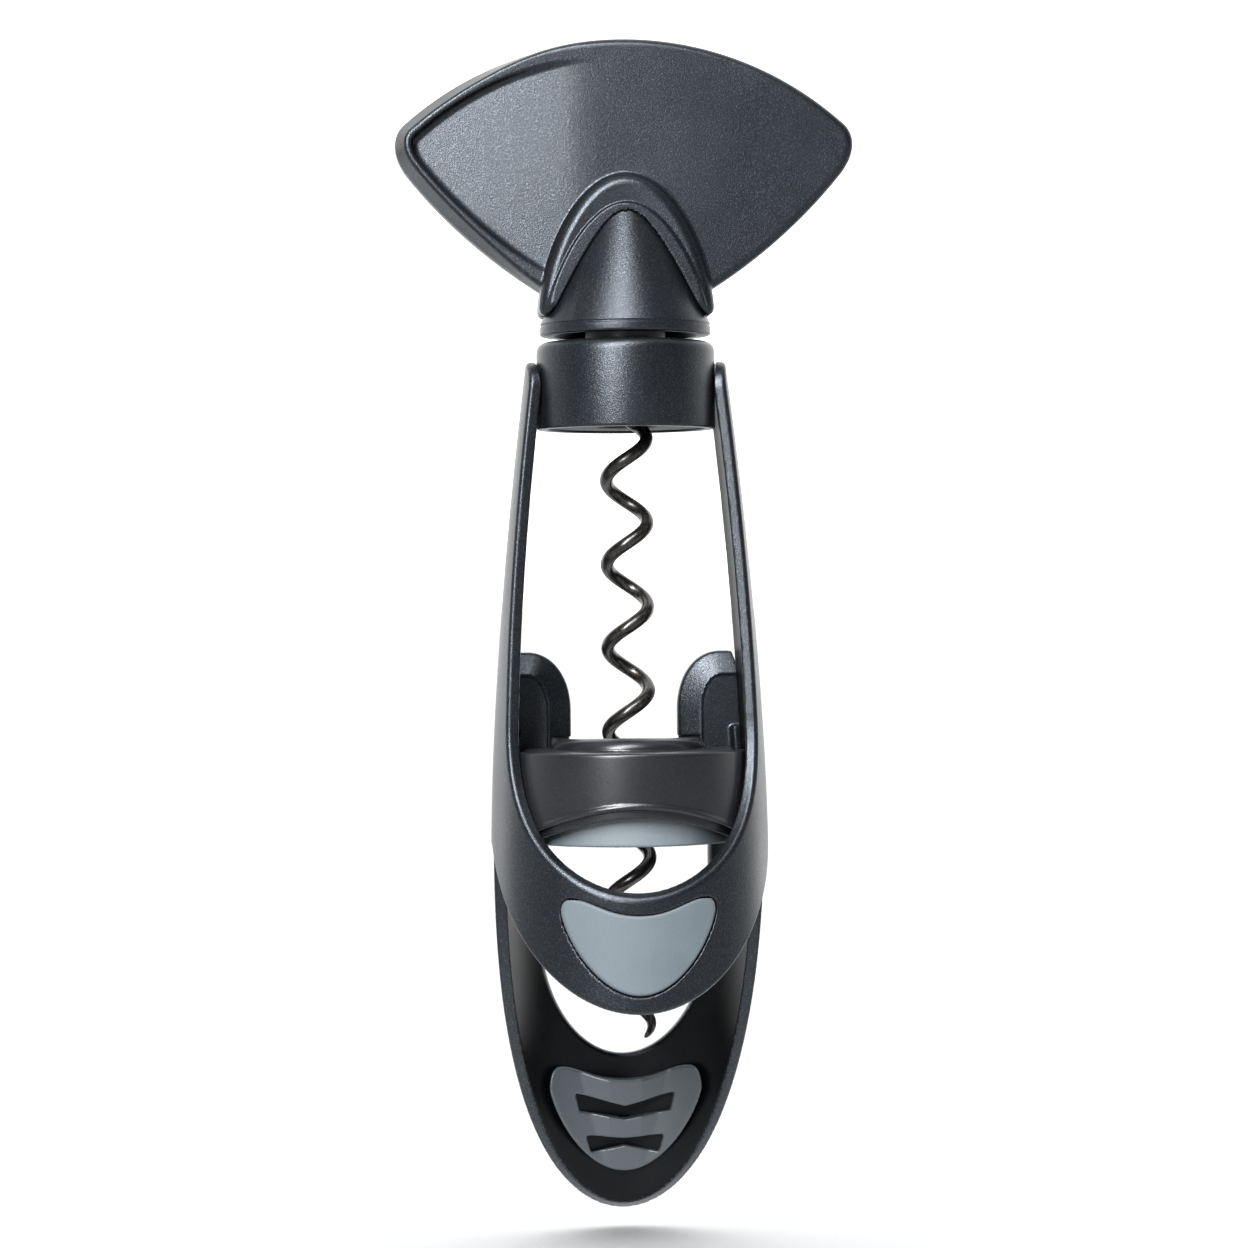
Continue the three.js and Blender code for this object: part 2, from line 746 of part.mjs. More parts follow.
/** Rear grip pad: faceted block in a thin border, cut to a shield, with two slots and its peg. */
function makeRearPad() {
  const far = seatRadius + overrun;
  const bottom = -rearLipDrop - overrun;
  const back = jawStep + wall + fit;
  const facets = padFacets().intersect(barrel(back, bottom, 0));
  const border = barrelShell(back, back + rearPadBorder, bottom, 0);
  const behindEdge = sidePrism(jawOutline(), -far, far).translate([0, padSetback, 0]);
  const pad = join(facets, border)
    .intersect(frontPrism(shieldOutline(rearPad), 0, far))
    .intersect(behindEdge);
  const slots = slotDrops.map((drop, row) => padSlot(row));
  return join(cut(pad, ...slots), padPeg(padPegRadius, 0));
}

/** Front grip pad: flush with the jaw's skin, stepped through its window and proud inside. */
function makeFrontPad() {
  const bottom = -lipDrop - overrun;
  const face = frontPrism(shieldOutline(frontPad), -seatRadius - overrun, 0)
    .intersect(barrelShell(0, padTrap, bottom, 0));
  const plug = frontPrism(shieldOutline(frontPad, -padLedge), -seatRadius - overrun, 0)
    .intersect(barrelShell(padNeck, wall + frontPadReach, bottom, 0));
  return join(face, plug);
}

/** Heights, radii and wire sizes along the worm from its tip to the end of its shank. */
function wormStations() {
  const stations = [];
  const bendStart = collarBottom;
  const bendEnd = collarBottom + bendLength;
  const step = wormPitch / turnSteps;
  const count = Math.round((bendEnd - wormTipHeight) / step);
  for (let i = 0; i <= count; i += 1) {
    const height = between(wormTipHeight, bendEnd, i / count);
    const bend = THREE.MathUtils.smoothstep(height, bendStart, bendEnd);
    const taper = Math.min((height - wormTipHeight) / tipLength, 1);
    stations.push({
      height,
      radius: coilRadius * (1 - bend),
      wire: between(tipRadius, wireRadius, Math.sqrt(taper)),
    });
  }
  stations.push({ height: bendEnd + shankDepth, radius: 0, wire: wireRadius });
  return stations;
}

/** Centre of the wire at a station. It turns right-handed as it rises. */
function wormPoint({ height, radius }) {
  const turn = (2 * Math.PI * (height - wormRightHeight)) / wormPitch;
  return new THREE.Vector3(radius * Math.cos(turn), radius * Math.sin(turn), height);
}

/** Worm: one unbroken wire, swept ring by ring along its helix and into a straight shank. */
function makeWorm() {
  const stations = wormStations();
  const centres = stations.map(wormPoint);
  const places = [];
  const corners = [];
  const across = new THREE.Vector3(1, 0, 0);
  centres.forEach((centre, i) => {
    const ahead = centres[Math.min(i + 1, centres.length - 1)];
    const behind = centres[Math.max(i - 1, 0)];
    const run = ahead.clone().sub(behind).normalize();
    across.addScaledVector(run, -across.dot(run)).normalize();
    const up = run.clone().cross(across);
    for (let side = 0; side < wireSides; side += 1) {
      const turn = (2 * Math.PI * side) / wireSides;
      const place = centre.clone()
        .addScaledVector(across, stations[i].wire * Math.cos(turn))
        .addScaledVector(up, stations[i].wire * Math.sin(turn));
      places.push(place.x, place.y, place.z);
    }
  });
  const rings = centres.length;
  for (let ring = 0; ring < rings - 1; ring += 1) {
    for (let side = 0; side < wireSides; side += 1) {
      const next = (side + 1) % wireSides;
      const [a, b] = [ring * wireSides + side, ring * wireSides + next];
      const [c, d] = [a + wireSides, b + wireSides];
      corners.push(a, b, d, a, d, c);
    }
  }
  for (let side = 1; side < wireSides - 1; side += 1) {
    const last = (rings - 1) * wireSides;
    corners.push(0, side + 1, side, last, last + side, last + side + 1);
  }
  const geometry = new THREE.BufferGeometry();
  geometry.setAttribute('position', new THREE.Float32BufferAttribute(places, 3));
  geometry.setIndex(corners);
  reportTurnGap(centres);
  return solidOf(geometry);
}

/** Measure the least open gap between neighbouring turns of the worm and print it. */
function reportTurnGap(centres) {
  let least = Infinity;
  centres.forEach((centre, i) => {
    for (let j = i + Math.round(turnSteps / 2); j < centres.length; j += 1) {
      least = Math.min(least, centre.distanceTo(centres[j]) - 2 * wireRadius);
    }
  });
  console.log(`least gap between the worm's turns: ${least.toFixed(2)} mm`);
}

/** Bush that slides in the collar and carries the turning spindle. */
function makeBush() {
  const flangeFoot = bushTop - bushFlangeHeight;
  return revolve([
    [counterboreRadius, bushFoot],
    [bushRadius - fit, bushFoot],
    [bushRadius, bushFoot + fit],
    [bushRadius, flangeFoot],
    [bushFlangeRadius, flangeFoot],
    [bushFlangeRadius, bushTop],
    [bushBoreRadius, bushTop],
    [bushBoreRadius, counterboreTop],
    [counterboreRadius, counterboreTop],
  ]);
}

/** Thrust washer between the bush and the hub. */
function makeThrustWasher() {
  return tube(bushBoreRadius, bushFlangeRadius - fit, bushTop + fit, bushTop + fit + washerThickness);
}

/** Turning spindle with its clip groove, its cross hole and the drilled hole for the worm. */
function makeSpindle() {
  const clipTop = counterboreTop - fit;
  const clipFoot = clipTop - clipThickness;
  const body = revolve([
    [0, spindleFoot],
    [spindleRadius - fit, spindleFoot],
    [spindleRadius - fit, clipFoot - fit],
    [spindleRadius - grooveDepth, clipFoot - fit],
    [spindleRadius - grooveDepth, clipTop + fit],
    [spindleRadius, clipTop + fit],
    [spindleRadius, spindleTop - grooveDepth],
    [spindleRadius - grooveDepth, spindleTop],
    [0, spindleTop],
  ]);
  const shankEnd = collarBottom + bendLength + shankDepth + fit;
  const shankHole = bar(wireRadius + fit, spindleFoot - overrun, shankEnd, smallSteps);
  const pinHole = crossBar(crossPinRadius + fit, -hubRadius, hubRadius, 0, crossPinHeight);
  return cut(body, shankHole, pinHole);
}

/** Open spring clip under the bush's shoulder that keeps the spindle in the bush. */
function makeClip() {
  const top = counterboreTop - fit;
  const inner = spindleRadius - grooveDepth + fit;
  const foot = top - clipThickness;
  const mouth = block(-clipMouthHalf, clipMouthHalf, -clipRadius - fit, 0, foot - fit, top + fit);
  return tube(inner, clipRadius, foot, top, smallSteps * 2).subtract(mouth);
}

/** Radius of the hub cone's side at a height. */
function hubConeRadius(height) {
  const foot = hubBottom + hubBandHeight + hubGrooveHeight;
  return between(hubRadius, hubTopRadius, (height - foot) / (hubTop - foot));
}

/** Hub cone: a hollow cone with a grooved band, the spindle's bore and two driving keys. */
function makeHubCone() {
  const ceiling = bushTop + 2 * fit + washerThickness;
  const bandTop = hubBottom + hubBandHeight;
  const coneFoot = bandTop + hubGrooveHeight;
  const groove = hubRadius - hubGrooveDepth;
  const cone = revolve([
    [0, hubBottom],
    [hubRadius - fit, hubBottom],
    [hubRadius, hubBottom + fit],
    [hubRadius, bandTop - fit],
    [groove, bandTop],
    [groove, coneFoot],
    [hubConeRadius(coneFoot + fit), coneFoot + fit],
    [hubConeRadius(hubTop - hubTopEdge), hubTop - hubTopEdge],
    [hubTopRadius - hubTopEdge, hubTop],
    [0, hubTop],
  ]);
  const cavity = revolve([
    [0, hubBottom - overrun],
    [hubCavityRadius, hubBottom - overrun],
    [hubCavityRadius, hubBottom],
    [hubCavityTopRadius, ceiling],
    [0, ceiling],
  ]);
  const bore = bar(spindleRadius + fit, ceiling - fit, spindleTop + fit, smallSteps * 2);
  const half = crossPinHalf();
  const pinHole = crossBar(crossPinRadius + fit, -half - fit, half + fit, 0, crossPinHeight);
  const keys = block(-keyReach, keyReach, -keyThickness / 2, keyThickness / 2, keyFoot, keyFoot + keyHeight)
    .subtract(bar(spindleRadius + fit, keyFoot - fit, spindleTop + fit));
  return cut(join(cone, keys), cavity, bore, pinHole);
}

/** Half length of the pin that ties the spindle to the hub. */
function crossPinHalf() {
  return hubConeRadius(crossPinHeight + crossPinRadius + fit) - 2 * fit;
}

/** Front outline of the wing: a broad fan with small round tips and gently bowed flanks. */
function wingOutline(inset = 0) {
  const crown = wingTopRadius - inset;
  const centre = wingTop - wingTopRadius;
  const tipHalf = wingTipHalf - inset;
  const footHalf = Math.max(wingFootHalf - inset, 0);
  const foot = wingFootHeight + inset;
  const round = wingTipRound - inset / 2;
  const crownEnd = tipHalf - round * tipCrownShare;
  const crownEndHeight = centre + Math.sqrt(crown * crown - crownEnd * crownEnd);
  const startTurn = Math.atan2(crownEndHeight - centre, crownEnd);
  const flankHalf = tipHalf - round * tipFlankShares[0];
  const flankHeight = wingTipHeight - round * tipFlankShares[1];
  const flankMidHalf = between(footHalf, flankHalf, 1 / 2) + wingFlankBow;
  const flankMidHeight = between(foot, flankHeight, 1 / 2) - wingFlankBow;
  const shoulderHeight = crownEndHeight - round * tipPullShares[0];
  const bulgeHalf = tipHalf + round * tipPullShares[1];
  const bulgeHeight = wingTipHeight + round * tipPullShares[2];
  const outline = new THREE.Shape();
  outline.moveTo(crownEnd, crownEndHeight);
  outline.absarc(0, centre, crown, startTurn, Math.PI - startTurn, false);
  outline.bezierCurveTo(-tipHalf, shoulderHeight, -bulgeHalf, bulgeHeight, -flankHalf, flankHeight);
  outline.quadraticCurveTo(-flankMidHalf, flankMidHeight, -footHalf, foot);
  outline.lineTo(footHalf, foot);
  outline.quadraticCurveTo(flankMidHalf, flankMidHeight, flankHalf, flankHeight);
  outline.bezierCurveTo(bulgeHalf, bulgeHeight, tipHalf, shoulderHeight, crownEnd, crownEndHeight);
  return outline;
}

/** Arch that stands on the sleeve's foot. The shares say how full and how high its flank bends. */
function archOutline(half, top, [flankShare, riseShare, crownShare]) {
  const low = sleeveFoot + sleeveFootRound;
  const rise = between(low, top, riseShare);
  const outline = new THREE.Shape();
  outline.moveTo(-half + sleeveFootRound, sleeveFoot);
  outline.lineTo(half - sleeveFootRound, sleeveFoot);
  outline.quadraticCurveTo(half, sleeveFoot, half, low);
  outline.bezierCurveTo(half * flankShare, rise, half * crownShare, top, 0, top);
  outline.bezierCurveTo(-half * crownShare, top, -half * flankShare, rise, -half, low);
  outline.quadraticCurveTo(-half, sleeveFoot, -half + sleeveFootRound, sleeveFoot);
  return outline;
}

/** Front half of the sleeve: an arch on the blade that slopes out to a smaller rim. */
function sleeveHalf() {
  const rimFace = -sleeveHalfDepth;
  const rimHalf = sleeveHalfWidth - sleeveRimInset;
  const arch = frontPrism(archOutline(sleeveHalfWidth, sleeveTop, sleeveShares), -wingThickness / 2, 0);
  const rimOutline = archOutline(rimHalf, sleeveTop - sleeveRimDrop, sleeveRimShares);
  const rim = frontPrism(rimOutline, rimFace, rimFace + sleeveRimLand);
  return wasm.Manifold.hull([arch, rim]);
}

/** Thumb scoop cutter on the front's left half: level at the middle and deepest at the tip. */
function scoopCutter() {
  const depth = wingThickness;
  const slope = Math.atan2(scoopDepth, wingTipHalf - scoopStart);
  const faceY = -wingThickness / 2;
  const slab = solidOf(
    new THREE.ExtrudeGeometry(wingOutline(rimWidth), extrusion(depth))
      .rotateX(Math.PI / 2)
      .translate(scoopStart, 0, 0)
      .rotateZ(-slope)
      .translate(-scoopStart, faceY, 0),
  );
  return slab.intersect(block(-wingTipHalf, -scoopStart, -wingThickness, 0, 0, wingTop + overrun));
}

/** Room for the hub cone and its keys, one running gap larger than they are. */
function hubRoom() {
  const foot = sleeveFoot - overrun;
  const top = hubTop + fit;
  const slot = keyThickness / 2 + fit;
  const room = revolve([
    [0, foot],
    [hubConeRadius(foot) + fit, foot],
    [hubConeRadius(top) + fit, top],
    [0, top],
  ]);
  const keys = block(-keyReach - fit, keyReach + fit, -slot, slot, keyFoot - fit, keyFoot + keyHeight + fit);
  return join(room, keys);
}

/** The whole wing before it is parted into its two mouldings. */
function makeWing() {
  const blade = bevelledFrontPrism(wingOutline(), -wingThickness / 2, wingThickness / 2, wingEdge);
  const scoop = scoopCutter();
  const scooped = cut(blade, scoop, scoop.rotate([0, 0, 180]));
  const sleeve = sleeveHalf();
  return cut(join(scooped, sleeve, sleeve.rotate([0, 0, 180])), hubRoom());
}

/** One half of the wing, in front of the parting plane or behind it. */
function makeWingHalf(wing, side) {
  const far = wingTipHalf + overrun;
  const near = fit / 2;
  const slab = side > 0
    ? block(-far, far, near, far, 0, wingTop + overrun)
    : block(-far, far, -far, -near, 0, wingTop + overrun);
  return wing.intersect(slab);
}

/** Pin through the hub and the spindle. */
function makeCrossPin() {
  return crossBar(crossPinRadius, -crossPinHalf(), crossPinHalf(), 0, crossPinHeight);
}

// Materials
const charcoal = { color: 0x3a3d42, roughness: 0.42, metalness: 0.35 };
const charcoalInner = { color: 0x33363a, roughness: 0.5, metalness: 0.3 };
const softGrey = { color: 0x8e9aa3, roughness: 0.62, metalness: 0 };
const paleGrey = { color: 0x9aa5ad, roughness: 0.5, metalness: 0 };
const wormBlack = { color: 0x1d1d1e, roughness: 0.3, metalness: 0.6 };
const steel = { color: 0xa9abad, roughness: 0.35, metalness: 1 };
const acetal = { color: 0x2a2b2d, roughness: 0.45, metalness: 0 };

const corkscrew = new THREE.Group();

/** Add one named piece to the corkscrew. */
function addPiece(name, solid, look) {
  const { vertProperties, triVerts, numProp } = solid.getMesh();
  const places = new Float32Array((vertProperties.length / numProp) * 3);
  for (let i = 0; i < places.length / 3; i += 1) {
    places.set(vertProperties.subarray(i * numProp, i * numProp + 3), i * 3);
  }
  const geometry = new THREE.BufferGeometry();
  geometry.setAttribute('position', new THREE.BufferAttribute(places, 3));
  geometry.setIndex(Array.from(triVerts));
  geometry.computeVertexNormals();
  const mesh = new THREE.Mesh(geometry, new THREE.MeshStandardMaterial(look));
  mesh.name = name;
  corkscrew.add(mesh);
}

const wing = makeWing();

addPiece('frame', makeFrame(), charcoal);
addPiece('collar_cap', makeCollar(), charcoal);
addPiece('collar_floor', makeCollarFloor(), paleGrey);
addPiece('guide_ring', makeGuideRing(), charcoalInner);
addPiece('centring_ring', makeCentringRing(), paleGrey);
addPiece('front_grip_pad', makeFrontPad(), softGrey);
addPiece('left_hinge_pin', makeHingePin(-1), steel);
addPiece('right_hinge_pin', makeHingePin(1), steel);
addPiece('rear_jaw', makeRearJaw(), charcoal);
addPiece('rear_grip_pad', makeRearPad(), softGrey);
addPiece('guide_bush', makeBush(), acetal);
addPiece('thrust_washer', makeThrustWasher(), steel);
addPiece('spindle', makeSpindle(), steel);
addPiece('spindle_clip', makeClip(), steel);
addPiece('worm', makeWorm(), wormBlack);
addPiece('cross_pin', makeCrossPin(), steel);
addPiece('hub_cone', makeHubCone(), charcoal);
addPiece('handle_front', makeWingHalf(wing, -1), charcoal);
addPiece('handle_back', makeWingHalf(wing, 1), charcoal);

export default corkscrew;
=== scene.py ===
"""Studio scene of a wing-handled, self-pulling corkscrew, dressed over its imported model.

Lengths are in millimetres until a mesh is made, and every mesh is in metres. +Z runs up the worm,
-Y points at the viewer and the origin is where the bottle's mouth meets the centring ring.
"""
import logging
import math
from dataclasses import dataclass
from enum import Enum
from typing import Callable, Iterable, Sequence

import bpy
import numpy as np
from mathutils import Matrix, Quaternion, Vector


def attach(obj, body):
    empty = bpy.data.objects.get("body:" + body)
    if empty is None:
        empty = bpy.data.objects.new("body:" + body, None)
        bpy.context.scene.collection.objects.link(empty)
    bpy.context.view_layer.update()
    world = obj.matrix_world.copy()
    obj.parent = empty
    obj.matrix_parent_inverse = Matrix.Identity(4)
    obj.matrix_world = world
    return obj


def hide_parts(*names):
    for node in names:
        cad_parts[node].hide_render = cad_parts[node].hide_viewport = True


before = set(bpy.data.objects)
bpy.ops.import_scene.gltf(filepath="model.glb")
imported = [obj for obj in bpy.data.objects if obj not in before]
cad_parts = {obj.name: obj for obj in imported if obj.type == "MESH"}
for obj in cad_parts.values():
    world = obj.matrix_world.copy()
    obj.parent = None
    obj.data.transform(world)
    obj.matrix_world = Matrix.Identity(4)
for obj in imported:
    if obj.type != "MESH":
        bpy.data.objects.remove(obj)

log = logging.getLogger("corkscrew")

MM = 0.001

Point = tuple[float, float]
Field = Callable[[np.ndarray, np.ndarray, np.ndarray], np.ndarray]


# ---- Curves and outlines ----

def between(low: float, high: float, share: float) -> float:
    """Blend two numbers.

    Args:
        low: the value at share 0.
        high: the value at share 1.
        share: how far to go from low to high.

    Returns:
        The blended number.
    """
    return low + (high - low) * share


def cubic(start: Point, first: Point, second: Point, end: Point, count: int = 26) -> list[Point]:
    """Points along a cubic curve, without its end point.

    Args:
        start, first, second, end: the curve's control points.
        count: how many points to give.

    Returns:
        The points in order.
    """
    t = np.linspace(0, 1, count, endpoint=False)[:, None]
    p = [np.array(q, float) for q in (start, first, second, end)]
    curve = (1 - t) ** 3 * p[0] + 3 * (1 - t) ** 2 * t * p[1] + 3 * (1 - t) * t**2 * p[2] + t**3 * p[3]
    return [tuple(q) for q in curve]


def quadratic(start: Point, control: Point, end: Point, count: int = 20) -> list[Point]:
    """Points along a quadratic curve, without its end point.

    Args:
        start, control, end: the curve's control points.
        count: how many points to give.

    Returns:
        The points in order.
    """
    t = np.linspace(0, 1, count, endpoint=False)[:, None]
    p = [np.array(q, float) for q in (start, control, end)]
    curve = (1 - t) ** 2 * p[0] + 2 * (1 - t) * t * p[1] + t**2 * p[2]
    return [tuple(q) for q in curve]


def arc(centre: Point, radius: float, from_turn: float, to_turn: float, count: int = 24) -> list[Point]:
    """Points along a circular arc, with both ends.

    Args:
        centre: the circle's centre.
        radius: its radius.
        from_turn, to_turn: the first and last angle in radians.
        count: how many points to give.

    Returns:
        The points in order.
    """
    turns = np.linspace(from_turn, to_turn, count)
    return [(centre[0] + radius * math.cos(t), centre[1] + radius * math.sin(t)) for t in turns]


def rounded(profile: Sequence[tuple[float, float, float]], count: int = 6) -> list[Point]:
    """Round the corners of a closed profile.

    Args:
        profile: (u, v, corner radius) for each corner in order.
        count: points on each rounded corner.

    Returns:
        The profile's points with each corner replaced by an arc.
    """
    points: list[Point] = []
    total = len(profile)
    for i, (u, v, radius) in enumerate(profile):
        here = np.array((u, v))
        back = np.array(profile[i - 1][:2]) - here
        ahead = np.array(profile[(i + 1) % total][:2]) - here
        reach = min(np.linalg.norm(back), np.linalg.norm(ahead)) * 0.49
        if radius <= 0 or reach < 1e-6:
            points.append((u, v))
            continue
        back, ahead = back / np.linalg.norm(back), ahead / np.linalg.norm(ahead)
        half = math.acos(float(np.clip(back @ ahead, -1, 1))) / 2
        run = min(radius / max(math.tan(half), 1e-6), reach)
        points.extend(quadratic(tuple(here + back * run), (u, v), tuple(here + ahead * run), count))
        points.append(tuple(here + ahead * run))
    return points


class Outline:
    """Signed distance to a closed polygon, read from a fine table. It is negative inside."""

    def __init__(self, points: Iterable[Point], cell: float = 0.16, margin: float = 4.0) -> None:
        """Make the table.

        Args:
            points: the polygon's corners in order.
            cell: the table's spacing in millimetres.
            margin: how far the table reaches past the polygon.
        """
        corners = np.array(list(points), float)
        self.cell = cell
        self.low = corners.min(0) - margin
        count = np.ceil((corners.max(0) + margin - self.low) / cell).astype(int) + 1
        u = (self.low[0] + cell * np.arange(count[0]))[:, None]
        v = (self.low[1] + cell * np.arange(count[1]))[None, :]
        best = np.full(count, np.inf)
        inside = np.zeros(count, bool)
        for (au, av), (bu, bv) in zip(corners, np.roll(corners, -1, 0)):
            du, dv = bu - au, bv - av
            squared = du * du + dv * dv
            if squared < 1e-12:
                continue
            t = np.clip(((u - au) * du + (v - av) * dv) / squared, 0, 1)
            best = np.minimum(best, (u - au - t * du) ** 2 + (v - av - t * dv) ** 2)
            if dv != 0:
                inside ^= ((av > v) != (bv > v)) & (u < au + du * (v - av) / dv)
        self.table = np.where(inside, -1.0, 1.0) * np.sqrt(best)

    def __call__(self, u: np.ndarray, v: np.ndarray) -> np.ndarray:
        """Read the distance.

        Args:
            u, v: places in the outline's plane.

        Returns:
            The signed distance at each place.
        """
        u, v = np.broadcast_arrays(u, v)
        count = self.table.shape
        s = np.clip((u - self.low[0]) / self.cell, 0, count[0] - 1.001)
        t = np.clip((v - self.low[1]) / self.cell, 0, count[1] - 1.001)
        i, j = s.astype(int), t.astype(int)
        s, t = s - i, t - j
        near = self.table[i, j] * (1 - s) + self.table[i + 1, j] * s
        far = self.table[i, j + 1] * (1 - s) + self.table[i + 1, j + 1] * s
        return near * (1 - t) + far * t


def round_max(a: np.ndarray, b: np.ndarray, radius: float) -> np.ndarray:
    """Intersect two fields and round the edge between them.

    Args:
        a, b: signed distances.
        radius: the edge's radius.

    Returns:
        The field of what both have in common.
    """
    corner = np.hypot(np.maximum(a + radius, 0), np.maximum(b + radius, 0))
    return np.minimum(np.maximum(a, b), -radius) + corner


def round_min(a: np.ndarray, b: np.ndarray, radius: float) -> np.ndarray:
    """Join two fields with a fillet between them.

    Args:
        a, b: signed distances.
        radius: the fillet's radius.

    Returns:
        The field of the joined shapes.
    """
    return -round_max(-a, -b, radius)


def ease(low: float, high: float, value: np.ndarray) -> np.ndarray:
    """Go smoothly from 0 at low to 1 at high.

    Args:
        low, high: where the change starts and ends.
        value: where to read it.

    Returns:
        Numbers from 0 to 1.
    """
    t = np.clip((value - low) / (high - low), 0, 1)
    return t * t * (3 - 2 * t)


# ---- Meshes ----

SURFACE_ROUNDS = 4
SURFACE_REACH = 0.05
NORMAL_REACH = 0.12
LEAST_STEEP = 0.2
LONGEST_MOVE = 0.5
SHARP_ANGLE = 40.0
TINY = 1e-9
CORNERS = np.array([(i, j, k) for i in (0, 1) for j in (0, 1) for k in (0, 1)])
EDGES = [(a, b) for a in range(8) for b in range(a + 1, 8) if np.abs(CORNERS[a] - CORNERS[b]).sum() == 1]


def surface_net(values: np.ndarray) -> tuple[np.ndarray, np.ndarray]:
    """Find the zero surface of a lattice of distances.

    Args:
        values: signed distances on a regular lattice.

    Returns:
        Vertices in lattice units, and four-cornered faces that look outwards.
    """
    inside = values < 0
    cells_shape = tuple(n - 1 for n in values.shape)
    count = np.zeros(cells_shape, np.int8)
    for i, j, k in CORNERS:
        count += inside[i:i + cells_shape[0], j:j + cells_shape[1], k:k + cells_shape[2]]
    active = (count > 0) & (count < 8)
    cells = np.argwhere(active)
    index = np.full(cells_shape, -1, np.int64)
    index[active] = np.arange(len(cells))
    total = np.zeros((len(cells), 3))
    hits = np.zeros(len(cells))
    at = [values[tuple((cells + c).T)] for c in CORNERS]
    for a, b in EDGES:
        crossing = (at[a] < 0) != (at[b] < 0)
        t = at[a][crossing] / (at[a][crossing] - at[b][crossing])
        total[crossing] += CORNERS[a] + t[:, None] * (CORNERS[b] - CORNERS[a])
        hits[crossing] += 1
    vertices = cells + total / hits[:, None]
    faces = []
    for axis in range(3):
        first, second = [a for a in range(3) if a != axis]
        here = np.moveaxis(inside, axis, 0)
        change = here[:-1] != here[1:]
        change = np.moveaxis(change, 0, axis)
        places = np.argwhere(change)
        kept = (places[:, first] > 0) & (places[:, second] > 0)
        kept &= (places[:, first] < cells_shape[first]) & (places[:, second] < cells_shape[second])
        places = places[kept]
        loop = []
        for one, two in ((1, 1), (0, 1), (0, 0), (1, 0)):
            cell = places.copy()
            cell[:, first] -= one
            cell[:, second] -= two
            loop.append(index[tuple(cell.T)])
        quads = np.stack(loop, 1)
        flip = inside[tuple(places.T)] == (axis == 1)
        quads[flip] = quads[flip][:, ::-1]
        faces.append(quads)
    return vertices, np.concatenate(faces)


def slope_of(shape: Field, points: np.ndarray, reach: float) -> np.ndarray:
    """Slope of a field by central differences.

    Args:
        shape: the field.
        points: where to read it.
        reach: how far to step to each side.

    Returns:
        One vector for each point.
    """
    slope = np.zeros_like(points)
    for axis in range(3):
        step = np.zeros(3)
        step[axis] = reach
        slope[:, axis] = shape(*(points + step).T) - shape(*(points - step).T)
    return slope / (2 * reach)


def mesh_object(name: str, vertices: np.ndarray, faces: Sequence[Sequence[int]]) -> bpy.types.Object:
    """Make a smooth-shaded object at the origin.

    Args:
        name: the object's name.
        vertices: places in millimetres.
        faces: corner numbers of each face.

    Returns:
        The new object.
    """
    mesh = bpy.data.meshes.new(name)
    mesh.from_pydata((np.asarray(vertices) * MM).tolist(), [], [list(map(int, f)) for f in faces])
    mesh.validate()
    mesh.shade_smooth()
    piece = bpy.data.objects.new(name, mesh)
    bpy.context.scene.collection.objects.link(piece)
    return piece


def carve(
    name: str, shape: Field, low: Sequence[float], high: Sequence[float], step: float
) -> bpy.types.Object:
    """Make an object from a field of signed distances.

    Args:
        name: the object's name.
        shape: the field, in millimetres.
        low, high: corners of the box that holds the shape.
        step: the lattice's spacing.

    Returns:
        The new object, its vertices on the field's surface and its normals along the slope.
    """
    low_corner = np.array(low, float) - 1.5 * step
    axes = [np.arange(low_corner[a], high[a] + 2.5 * step, step) for a in range(3)]
    x, y, z = axes[0][:, None, None], axes[1][None, :, None], axes[2][None, None, :]
    values = np.broadcast_to(shape(x, y, z), tuple(len(a) for a in axes))
    vertices, faces = surface_net(values)
    points = low_corner + vertices * step
    for _ in range(SURFACE_ROUNDS):
        slope = slope_of(shape, points, SURFACE_REACH)
        steep = np.maximum((slope**2).sum(1), LEAST_STEEP)
        move = slope * (shape(*points.T) / steep)[:, None]
        length = np.linalg.norm(move, axis=1, keepdims=True)
        points = points - move * np.minimum(1, LONGEST_MOVE * step / np.maximum(length, TINY))
    normals = slope_of(shape, points, NORMAL_REACH)
    normals /= np.maximum(np.linalg.norm(normals, axis=1, keepdims=True), TINY)
    piece = mesh_object(name, points, faces)
    piece.data.normals_split_custom_set_from_vertices(normals.tolist())
    log.info("%s: %d faces", name, len(piece.data.polygons))
    return piece


def lathe(name: str, profile: Sequence[Point], steps: int = 128) -> bpy.types.Object:
    """Turn a closed profile about the worm's axis.

    Args:
        name: the object's name.
        profile: (radius, height) pairs in order, at radius 0 only where the piece is solid.
        steps: how many steps go round.

    Returns:
        The new object.
    """
    turns = np.linspace(0, 2 * math.pi, steps, endpoint=False)
    vertices: list[tuple[float, float, float]] = []
    rings: list[list[int]] = []
    for radius, height in profile:
        if radius < 1e-6:
            rings.append([len(vertices)] * steps)
            vertices.append((0.0, 0.0, height))
            continue
        rings.append(list(range(len(vertices), len(vertices) + steps)))
        vertices.extend((radius * math.cos(t), radius * math.sin(t), height) for t in turns)
    faces = []
    for one, two in zip(rings, rings[1:] + rings[:1]):
        for i in range(steps):
            j = (i + 1) % steps
            corners = list(dict.fromkeys((one[i], one[j], two[j], two[i])))
            if len(corners) > 2:
                faces.append(corners)
    piece = mesh_object(name, np.array(vertices), faces)
    piece.data.set_sharp_from_angle(angle=math.radians(SHARP_ANGLE))
    return piece


# ---- Finishes ----

class Pattern(Enum):
    """How a finish's grain is laid out."""

    SPARK = "fine moulded grain of a spark-cut tool"
    SOFT = "soft matte skin of rubber"
    DRAWN = "marks along drawn and coated wire"
    TURNED = "rings left by turning"


